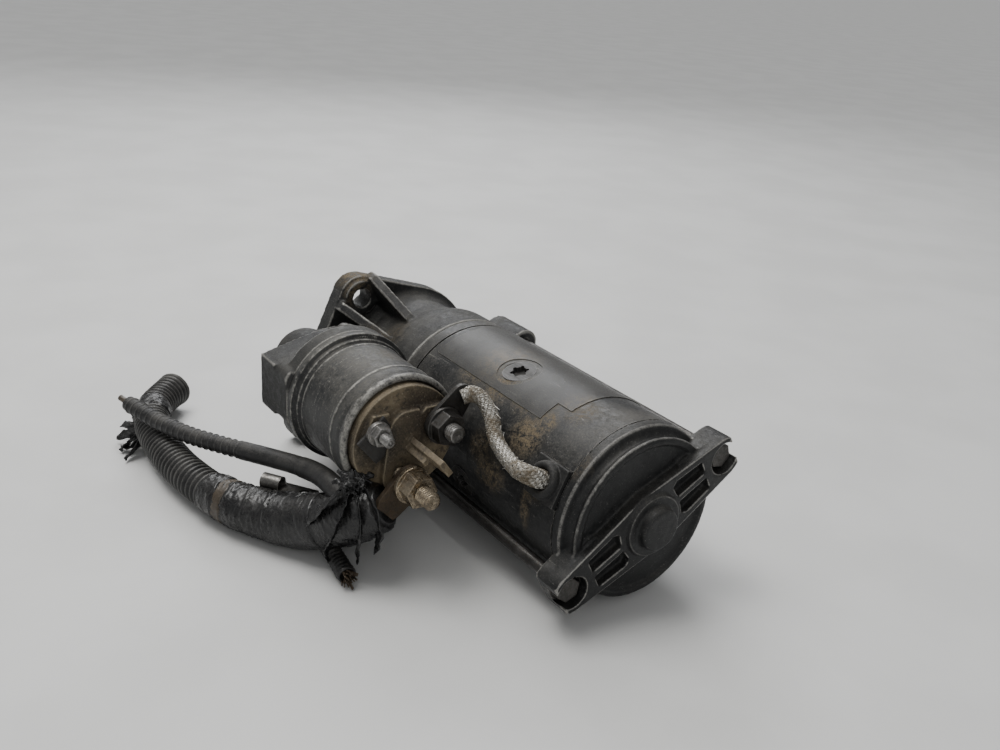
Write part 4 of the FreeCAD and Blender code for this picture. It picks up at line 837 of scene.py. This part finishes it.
# ------------------------------------------------------------------ studs with cut threads
def threaded(name, u0, u1, r, pitch, y, z, head=None, free=None, chamfer=0.9, segs=36, hole=0.0):
    """A stud whose surface carries a cut thread along its whole length."""
    step = pitch / 6.0
    n = int((u1 - u0) / step) + 1
    us = np.linspace(u0, u1, n)
    verts, faces = [], []
    for u in us:
        for j in range(segs):
            a = 2 * math.pi * j / segs
            ph = ((u + a / (2 * math.pi) * pitch) / pitch) % 1.0
            tri = 1 - abs(2 * ph - 1)
            rr = r - 0.61 * pitch * min(1.0, max(0.0, (0.92 - tri) / 0.84))
            end = min(1.0, max(0.0, (u - u0) / chamfer))
            rr = min(rr, r - (1 - end) * 0.75)
            verts.append((X(u) * MM, (y + rr * math.cos(a)) * MM, (z + rr * math.sin(a)) * MM))
    faces = grid_faces(n, segs)
    # end face, a little dished when there is a centre mark
    base = len(verts)
    r0 = r - 0.85
    rings = [(r0 * 0.8, 0.0), (max(hole, 0.35) + 0.15, 0.0), (max(hole, 0.30), 0.25 if hole else 0.05), (max(hole * 0.8, 0.2), 1.4 if hole else 0.08)]
    for (q, d) in rings:
        for j in range(segs):
            a = 2 * math.pi * j / segs
            verts.append((X(u0 + d) * MM, (y + q * math.cos(a)) * MM, (z + q * math.sin(a)) * MM))
    prev = 0
    for k in range(len(rings)):
        for j in range(segs):
            h = (j + 1) % segs
            faces.append((prev + h, prev + j, base + k * segs + j, base + k * segs + h))
        prev = base + k * segs
    verts.append((X(u0 + rings[-1][1]) * MM, y * MM, z * MM))
    for j in range(segs):
        faces.append((prev + (j + 1) % segs, prev + j, len(verts) - 1))
    verts.append((X(u1) * MM, y * MM, z * MM))
    for j in range(segs):
        faces.append(((n - 1) * segs + j, (n - 1) * segs + (j + 1) % segs, len(verts) - 1))
    if head:
        uh, hh, rh, sides = head
        b = len(verts)
        for (u, q) in ((uh, 0.2), (uh, rh - 0.3), (uh + 0.3, rh), (uh + hh - 0.3, rh), (uh + hh, rh - 0.3), (uh + hh, 0.2)):
            for j in range(sides * 6):
                a = 2 * math.pi * j / (sides * 6)
                flat = 1.0
                if sides == 6:
                    t = (a % (math.pi / 3)) - math.pi / 6
                    flat = min(1.0, 0.866 / math.cos(t) * 1.04)
                verts.append((X(u) * MM, (y + q * flat * math.cos(a)) * MM, (z + q * flat * math.sin(a)) * MM))
        m = sides * 6
        for i in range(5):
            for j in range(m):
                k = (j + 1) % m
                faces.append((b + i * m + j, b + i * m + k, b + (i + 1) * m + k, b + (i + 1) * m + j))
    return mesh_object(name, verts, faces, "housing", smooth=True)


MYZ = (56.2, 25.05)
BYZ = (73.9, 3.65)
SYZ = (85.9, 26.45)
st = threaded("motor_stud_thread", 46.5, 72.5, 4.0, 1.25, *MYZ, head=(72.5, 3.0, 6.0, 6))
dress(st, "steel_dull")
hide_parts("motor_stud")
st = threaded("battery_stud_thread", 35.0, 72.5, 4.0, 1.25, *BYZ, head=(72.5, 3.0, 6.0, 6))
dress(st, "brass")
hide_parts("battery_stud")
st = threaded("signal_stud_thread", 50.0, 72.5, 2.5, 0.8, *SYZ, head=(70.0, 2.5, 2.9, 6), hole=1.1, segs=28)
dress(st, "steel_dull")
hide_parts("signal_stud")

v = 0.24
dress(softened("motor_nut", v, 3, "motor_nut_flanged", 0.03, 0.9), "steel_dark")
dress(softened("battery_nut", v, 3, "battery_nut_flanged", 0.03, 0.9), "brass")
dress(softened("signal_nut", v, 3, "signal_nut_flanged", 0.02, 0.9), "steel_dull")
dress(softened("motor_lead_lug", v, 3, "motor_lead_plate", 0.05, 0.5), "lug_dark")
dress(softened("battery_cable_lug", v, 3, "battery_lug_plate", 0.06, 0.5), "copper_old")
dress(softened("signal_plate", v, 3, "signal_plate_square", 0.04, 0.5), "screw_dark")
dress(softened("through_bolts", 0.3, 3, "through_bolts_flanged", 0.02, 0.9), "steel_dark")

# ------------------------------------------------------------------ motor lead, woven from fine tinned wires
line, along = route(BRAID, 0.45)
T, S, N = frames(line, (0.6, 0.4, 0.7))
total = along[-1]
ALTS = []


def oval(i, a, extra):
    """The braid's outline: a flattened tube, flatter in the middle of its run, round where it enters the motor."""
    t = along[i] / total
    wide = 4.25 - 0.5 * max(0.0, t - 0.85) / 0.15
    thin = 3.1 + 1.0 * min(1.0, max(0.0, (t - 0.7) / 0.3)) + 0.5 * max(0.0, 0.15 - t) / 0.15
    lump = 1.0 + 0.05 * fbm((along[i] * 0.12, math.cos(a), math.sin(a)), 1.0, 2, 4.4)
    return line[i] + S[i] * (math.cos(a) * (wide + extra) * lump * MM) + N[i] * (math.sin(a) * (thin + extra) * lump * MM)


verts, faces = [], []
carriers, wires, lay = ((16, 3, 26.0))
step = 1
wide_r = 0.19
sides = 5
idx = list(range(0, len(line), step))
hands = []
for hand in (1, -1):
    verts, faces = [], []
    for c in range(carriers):
        for w in range(wires):
            ph = 2 * math.pi * (c + (w - (wires - 1) / 2) * 0.80 / wires) / carriers
            pts = []
            for i in idx:
                a = ph + hand * 2 * math.pi * along[i] / lay
                cross = math.sin(carriers * (along[i] / lay) * 2 * math.pi + (0 if hand > 0 else math.pi) + c * math.pi)
                pts.append(oval(i, a, 0.24 * max(-1, min(1, 1.5 * cross)) - 0.12))
            pts = np.array(pts)
            tt = np.gradient(pts, axis=0)
            tt /= np.linalg.norm(tt, axis=1)[:, None]
            out = pts - line[idx]
            out /= np.linalg.norm(out, axis=1)[:, None]
            out -= tt * (out * tt).sum(1)[:, None]
            out /= np.linalg.norm(out, axis=1)[:, None]
            sd = np.cross(tt, out)
            base = len(verts)
            for q in range(len(pts)):
                for j in range(sides):
                    a = 2 * math.pi * j / sides
                    verts.append(pts[q] + (sd[q] * math.cos(a) * wide_r + out[q] * math.sin(a) * 0.21) * MM)
            faces += grid_faces(len(pts), sides, base=base)
            for e, flip in ((0, True), (len(pts) - 1, False)):
                f = tuple(base + e * sides + j for j in range(sides))
                faces.append(f[::-1] if flip else f)
    weave = mesh_object("motor_lead_weave_%d" % len(hands), verts, faces, "housing")
    # the second hand of wires takes the darker copy, painted shade
    hands.append(dress(weave, "tinned_braid" if hand > 0 else "braid_shaded"))
# dark core inside the braid: painted shade showing through the gaps in the weave
core = tube("motor_lead_shade_core", line, lambda i, a: 2.6, 20)
dress(core, "lug_dark")
lead = joined("motor_lead_braided", [*hands, core])
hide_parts("motor_lead_braid")
# a few broken wires
rng = np.random.default_rng(7)
frayed = []
for k in range(14):
    i = int(rng.uniform(0.08, 0.9) * len(line))
    a = rng.uniform(0, 2 * math.pi)
    p0 = oval(i, a, 0.0)
    o = (p0 - line[i]) / np.linalg.norm(p0 - line[i])
    d = T[i] * rng.choice([-1, 1]) * 1.0 + o * 0.5 + rng.normal(0, 0.25, 3)
    d /= np.linalg.norm(d)
    pts = np.array([p0 + d * t * MM + o * 0.12 * t * t * MM * (0.4 - 0.3 * t / 4) for t in np.linspace(0, rng.uniform(2.0, 4.5), 8)])
    frayed.append(tube("w%d" % k, pts, lambda i, a: 0.16, 5, up=(0.31, 0.52, 0.79)))
for o in frayed:
    dress(o, "tinned_braid")
fr = joined("motor_lead_loose_wires", frayed)

# ------------------------------------------------------------------ harness trunk: corrugated conduit
LOW = CAD_BOX[0][2]
FLOOR = max(LOW, -0.0400)
tl, ta = route(TRUNK, 0.45)
TOT = ta[-1]
TT, TS, TN = frames(tl)


def knots(s, table):
    return float(np.interp(s, [a for a, _ in table], [b for _, b in table]))


def trunk_r(i, a):
    s = ta[i]
    if s < 92:
        return 8.2
    ph = (s % 3.3) / 3.3
    rib = 0.5 - 0.5 * math.cos(2 * math.pi * ph)
    rib = rib ** 0.7
    dent = 0.35 * fbm((s * 0.05, math.cos(a), math.sin(a)), 1.0, 2, 8.0)
    flare = 0.0
    if s > TOT - 12:
        flare = 0.5 * ((s - TOT + 12) / 12) ** 2
    return 7.75 + 1.4 * rib + dent * 0.6 + flare


def torn_end(base):
    def f(i, a):
        return base(i, a)
    return f


trunk = tube("harness_trunk_conduit", tl, trunk_r, 60, floor=FLOOR, bore=(30, 0.9))
# rib heights for the painted highlight on the conduit's rib tops
highlight_crests(trunk, trunk_r, len(tl), 60, 8.1, 9.1)
dress(trunk, "conduit")
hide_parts("harness_trunk")

# wires that end inside the open conduit
cut = []
for k, (oy, oz, r, key) in enumerate(((-2.6, -1.5, 1.9, "tape"), (2.2, -2.2, 2.1, "conduit"), (0.6, 2.4, 1.7, "tape_brown"), (-3.4, 2.6, 1.2, "tape"), (4.4, 1.2, 1.3, "conduit"))):
    pts = np.array([tl[i] + TS[i] * oy * MM + TN[i] * oz * MM for i in range(len(tl) - 46, len(tl) - 10 - k * 2)])
    o = tube("cw%d" % k, pts, lambda i, a, r=r: r, 14)
    dress(o, key)
    cut.append(o)
cw = joined("harness_trunk_cut_wires", cut)


# ------------------------------------------------------------------ tape wound over the trunk
def wrap(name, s0, s1, radius, jag0=0.6, jag1=0.6, wrinkle=0.5, seed=0.0, lay=15.0, lift=0.35, inner=1.1, sides=None, edge=0.7, ridge=0.9):
    """A layer of tape round the trunk from s0 to s1: overlapped turns, sharp creases, and a torn edge at each end."""
    sides = sides or (112)
    i0 = max(0, int((s0 - jag0 - 1) / 0.45))
    i1 = min(len(tl) - 1, int((s1 + jag1 + 1) / 0.45))
    rows = list(range(i0, i1 + 1))
    P = tl[rows]
    j0 = [jag0 * (fbm((math.cos(a) * 2.2, math.sin(a) * 2.2, seed), 1.0, 4, seed + 1)) for a in (2 * math.pi * j / sides for j in range(sides))]
    j1 = [jag1 * (fbm((math.cos(a) * 2.2, math.sin(a) * 2.2, seed + 5), 1.0, 4, seed + 2)) for a in (2 * math.pi * j / sides for j in range(sides))]

    def rr(i, a):
        s = ta[rows[i]]
        j = int(round(a / (2 * math.pi) * sides)) % sides
        base = knots(s, radius)
        turn = ((s + lay * a / (2 * math.pi)) % lay) / lay
        r = base + lift * (turn if turn < 0.96 else (1 - turn) / 0.04 * 0.96)
        n1 = fbm((s * 0.16 + 0.5 * math.cos(a), 1.9 * math.cos(a + s * 0.02), 1.9 * math.sin(a + s * 0.02)), 1.0, 3, seed)
        crease = 1.0 - abs(fbm((s * 0.34, 1.5 * math.cos(a), 1.5 * math.sin(a)), 1.0, 3, seed + 9))
        r += wrinkle * (0.7 * n1 + ridge * (crease ** 6 - 0.3))
        lowr = base - inner
        e0 = min(1.0, max(0.0, (s - (s0 + j0[j])) / edge))
        e1 = min(1.0, max(0.0, ((s1 + j1[j]) - s) / edge))
        e = min(e0, e1)
        return lowr + (r - lowr) * (e * e * (3 - 2 * e))
    return tube(name, P, rr, sides, floor=FLOOR)


BODY = [(0, 9.4), (3, 10.8), (9, 11.9), (16, 12.2), (24, 12.0), (32, 11.6), (44, 11.9), (56, 11.6), (66, 11.1), (78, 10.5), (88, 9.9), (96, 9.4), (104, 9.2)]
up1 = [(a, b + 0.5) for a, b in BODY]
up2 = [(a, b + 0.85) for a, b in BODY]
parts = []
for o, key in ((wrap("t0", 1.0, 36.0, BODY, 0.4, 1.5, 0.55, 1.0, 18.0, 0.3), "tape"),
               (wrap("t1", 32.5, 59.0, up1, 0.6, 3.2, 0.35, 2.0, 26.0, 0.25, ridge=0.5), "tape"),
               (wrap("t2", 55.0, 91.0, BODY, 2.0, 1.2, 0.62, 3.0, 11.0, 0.45), "tape"),
               (wrap("t3", 83.5, 89.5, [(a, b + 0.32) for a, b in BODY], 0.9, 1.0, 0.2, 4.0, 30.0, 0.1, 0.8), "tape_brown"),
               (wrap("t4", 88.5, 99.0, [(a, b + 0.35) for a, b in BODY], 1.2, 1.8, 0.45, 5.0, 14.0, 0.3, 0.9), "tape"),
               (wrap("t5", 188.0, 199.0, [(180, 9.45), (210, 9.35)], 1.8, 2.4, 0.5, 6.0, 9.0, 0.5, 0.9), "tape")):
    dress(o, key)
    parts.append(o)
tape = joined("harness_trunk_tape", parts)


# ------------------------------------------------------------------ crumpled tape where the branch leaves, and hanging ends
def crumple(name, centre, radii, seed, sharp=0.9, level=5):
    bm = bmesh.new()
    bmesh.ops.create_icosphere(bm, subdivisions=level, radius=1.0)
    for vtx in bm.verts:
        d = vtx.co.normalized()
        q = d * 1.5 + Vector((seed, 0.3 * seed, -seed))
        n = 0.0
        amp, fr = 1.0, 1.0
        for _ in range(4):
            n += amp * (1.0 - 2.0 * abs(noise.noise(q * fr)))
            amp *= 0.55
            fr *= 2.1
        k = 0.78 + 0.22 * sharp * n
        c = noise.noise_vector(q * 1.3) * 0.22
        w = d * k + c
        vtx.co = Vector(((centre[0] + w.x * radii[0]) * MM, (centre[1] + w.y * radii[1]) * MM, (centre[2] + w.z * radii[2]) * MM))
    me = bpy.data.meshes.new(name)
    bm.to_mesh(me)
    bm.free()
    ob = bpy.data.objects.new(name, me)
    bpy.context.scene.collection.objects.link(ob)
    me.polygons.foreach_set("use_smooth", [True] * len(me.polygons))
    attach(ob, "housing")
    return ob


KN = (X(67.0), 93.0, 2.2)
bits = [crumple("k0", KN, (6.4, 5.8, 5.6), 3.3, level=6)]
for k in range(16):
    th = rng.uniform(0, 2 * math.pi)
    el = rng.uniform(-0.5, 1.1)
    d = np.array([math.cos(th) * math.cos(el), math.sin(th) * math.cos(el), math.sin(el)])
    c = np.array(KN)
    L = rng.uniform(2.0, 4.6)
    side = np.cross(d, rng.normal(0, 1, 3))
    side /= np.linalg.norm(side)
    pts = [c + d * 4.2, c + d * (5.0 + L * 0.5) + side * rng.uniform(-1, 1), c + d * (5.0 + L) + side * rng.uniform(-2.2, 2.2) - np.array([0, 0, 0.6])]
    bits.append(ribbon("k%d" % (k + 1), pts, [rng.uniform(2.2, 4.0), rng.uniform(2.0, 3.4), rng.uniform(0.6, 1.8)], 0.25, twist=rng.uniform(-1.6, 1.6), crinkle=0.9, side=tuple(side)))
# strips that run down over the bundle to the floor
S0 = np.array([X(66.0), 92.0, 1.0])
for k, (pts, wd, tw) in enumerate((
        ([(X(62.5), 95.5, 0.5), (X(55.5), 97.0, -5.0), (X(54.2), 97.6, -14.0), (X(56.0), 97.0, -24.0), (X(59.0), 95.2, -33.0)], [5.0, 6.0, 5.0, 3.4, 0.5], 0.25),
        ([(X(63.0), 97.5, 0.0), (X(60.0), 102.6, -8.0), (X(62.0), 105.0, -17.0), (X(67.5), 105.6, -27.0), (X(69.5), 104.0, -35.5)], [4.6, 6.4, 7.0, 5.0, 0.6], -0.35),
        ([(X(60.5), 92.0, 2.5), (X(51.5), 91.5, -5.0), (X(49.5), 90.5, -14.0), (X(52.0), 90.0, -22.0), (X(57.0), 88.5, -29.0)], [4.2, 6.2, 5.6, 3.2, 0.5], 0.3),
        ([(X(66.5), 99.0, 1.0), (X(70.0), 105.0, -6.0), (X(74.0), 109.0, -14.0), (X(79.0), 111.4, -22.0)], [3.6, 5.2, 4.0, 0.6], 0.5))):
    bits.append(ribbon("s%d" % k, pts, wd, 0.3, twist=tw, crinkle=0.8, side=(0.5, 0.75, 0.2)))
# torn flap on the far side of the conduit, lying on the floor
for k, (a, b, c) in enumerate((((X(214), 139.5, -31.0), (X(217), 145.0, -35.0), (X(216), 150.0, -38.6)), ((X(218), 138.4, -30.0), (X(224), 144.0, -34.5), (X(228), 148.0, -37.4)),
                               ((X(209), 140.5, -32.5), (X(208), 146.0, -36.5), (X(205), 150.4, -38.8)), ((X(222), 137.0, -28.0), (X(228), 141.0, -31.0), (X(233), 143.8, -34.0)),
                               ((X(213), 140.2, -33.0), (X(212), 144.5, -37.0), (X(220), 148.0, -38.4)))):
    bits.append(ribbon("f%d" % k, [a, b, c], [5.0, 6.2, 1.2], 0.3, twist=0.6 * (-1) ** k, crinkle=1.3, side=(1.0, 0.2 * (-1) ** k, 0.5)))
for o in bits:
    dress(o, "tape")
flaps = joined("harness_torn_tape", bits)

# ------------------------------------------------------------------ branch: smooth sleeve, step, then a ringed tube with a wire end
bl, ba = route(BRANCH, 0.4)
BT = ba[-1]


def branch_r(i, a):
    s = ba[i]
    if s < 42.0:
        return 4.75 + 0.12 * fbm((s * 0.1, math.cos(a), math.sin(a)), 1.0, 2, 1.0)
    if s < 43.2:
        return 4.75 - 0.35 * (s - 42.0) / 1.2
    if s < 77.0:
        return 4.4 + 0.08 * fbm((s * 0.1, math.cos(a), math.sin(a)), 1.0, 2, 2.0)
    q = s - 77.0
    if q < 1.2:
        return 4.4 - 0.35 * q / 1.2
    ph = (q % 4.0) / 4.0
    ring = max(0.0, 1 - abs(ph - 0.5) / 0.16)
    return 3.85 + 0.58 * (ring ** 0.6) + 0.05 * fbm((s * 0.2, math.cos(a), math.sin(a)), 1.0, 2, 3.0)


branch = tube("harness_branch_sleeve", bl, branch_r, 36, bore=(20, 0.7))
# ring heights for the painted highlight on the sleeve's ring tops
highlight_crests(branch, branch_r, len(bl), 36, 3.9, 4.4, lambda i: ba[i] > 78.2)
dress(branch, "sleeve")
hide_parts("harness_branch")
d = bl[-1] - bl[-6]
d /= np.linalg.norm(d)
pts = [bl[-1] - d * 0.006 + d * t * MM + np.array([0, 0, 0.10]) * (max(0, t - 6) * 0.5) * MM for t in np.linspace(0, 13, 14)]
wire = tube("harness_branch_wire_end", np.array(pts), lambda i, a: 1.55 + 0.05 * math.sin(i), 14, up=(0, 0, 1))
dress(wire, "tape_brown")

# ------------------------------------------------------------------ tail: ribbed stub with a frayed end
tal, taa = route(TAIL, 0.35)


def tail_r(i, a):
    s = taa[i]
    ph = (s % 2.4) / 2.4
    return 3.7 + (0.42 * (0.5 - 0.5 * math.cos(2 * math.pi * ph)) if s > 7 else 0.45) + 0.25 * fbm((s * 0.2, math.cos(a) * 1.4, math.sin(a) * 1.4), 1.0, 3, 5.0)


tail = tube("harness_tail_stub", tal, tail_r, 32, floor=FLOOR, bore=(8, 0.6))
dress(tail, "conduit")
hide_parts("harness_tail")
ends = []
d = tal[-1] - tal[-5]
d /= np.linalg.norm(d)
for k in range(34):
    r0 = 2.9 * math.sqrt(rng.uniform(0, 1))
    a = rng.uniform(0, 2 * math.pi)
    s1 = np.cross(d, (0, 0, 1))
    s1 /= np.linalg.norm(s1)
    s2 = np.cross(s1, d)
    p = tal[-1] - d * 0.003 + (s1 * math.cos(a) + s2 * math.sin(a)) * r0 * MM
    o = (s1 * math.cos(a) + s2 * math.sin(a)) * rng.uniform(0.0, 0.45)
    L = rng.uniform(4.5, 7.5)
    pts = []
    for t in np.linspace(0, L, 7):
        q = p + (d * t + o * max(0.0, t - 2.5)) * MM
        q[2] = max(q[2], FLOOR + 0.0003)
        pts.append(q)
    ends.append(tube("e%d" % k, np.array(pts), lambda i, a: 0.30, 6, up=(0.2, 0.3, 0.93)))
for o in ends:
    dress(o, "copper_old")
fe = joined("harness_tail_frayed_end", ends)

# ------------------------------------------------------------------ plunger spring: it shortens as the plunger goes in
hp = []
for q in range(4 * 36 + 1):
    t = q / (4 * 36)
    a = 2 * math.pi * 4 * t
    hp.append((X(118.5 + 17.9 * t) * MM, (SY0 + 11.9 * math.cos(a)) * MM, (SZ0 + 11.9 * math.sin(a)) * MM))
coil = tube("plunger_return_spring", np.array(hp), lambda i, a: 0.93, 12, None, up=(1, 0, 0))
dress(coil, "gear")
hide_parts("plunger_spring")
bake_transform(coil, "housing", "plunger_group", (X(115.5) * MM, SY0 * MM, SZ0 * MM), (X(139.4) * MM, SY0 * MM, SZ0 * MM))

# ------------------------------------------------------------------ stage
lo = Vector(CAD_BOX[0])
bm = bmesh.new()
bmesh.ops.create_circle(bm, cap_ends=True, segments=96, radius=60.0)
me = bpy.data.meshes.new("floor")
bm.to_mesh(me)
bm.free()
floor = bpy.data.objects.new("floor", me)
bpy.context.scene.collection.objects.link(floor)
floor.location = (0.0, 0.0, lo.z - 0.0002)
fm = Mat("floor_pale")
fl = fm.noise(0.012, 4, 0.5)
fm.done(fm.mix(fm.ramp(fl, 0.35, 0.65), (0.56, 0.56, 0.55), (0.60, 0.60, 0.59)), 0.62, 0.0, None, **{"Specular IOR Level": 0.3})
me.materials.append(fm.m)

world = bpy.data.worlds.new("studio")
bpy.context.scene.world = world
world.use_nodes = True
bg = world.node_tree.nodes["Background"]
bg.inputs[0].default_value = (0.80, 0.81, 0.82, 1.0)
bg.inputs[1].default_value = 0.42


def lamp(name, place, aim, size, watts, colour=(1, 1, 1)):
    d = bpy.data.lights.new(name, "AREA")
    d.shape = "RECTANGLE"
    d.size, d.size_y = size
    d.energy = watts
    d.color = colour
    o = bpy.data.objects.new(name, d)
    bpy.context.scene.collection.objects.link(o)
    o.location = place
    o.rotation_euler = (Vector(aim) - Vector(place)).to_track_quat("-Z", "Y").to_euler()
    o.visible_camera = False
    return o


lamp("key", (0.15, 0.30, 1.0), (-0.12, 0.03, 0.0), (0.6, 0.5), 8.0, (1.0, 0.99, 0.97))
lamp("back", (0.9, -0.5, 0.8), (-0.1, 0.02, 0.0), (0.7, 0.4), 7.0, (0.97, 0.98, 1.0))
lamp("fill", (-1.0, 0.5, 0.5), (-0.1, 0.04, 0.0), (0.7, 0.7), 2.0)
sun = bpy.data.lights.new("sky_soft", "SUN")
sun.energy = 1.3
sun.angle = 0.9
so = bpy.data.objects.new("sky_soft", sun)
bpy.context.scene.collection.objects.link(so)
so.rotation_euler = (0.25, 0.35, 0.4)
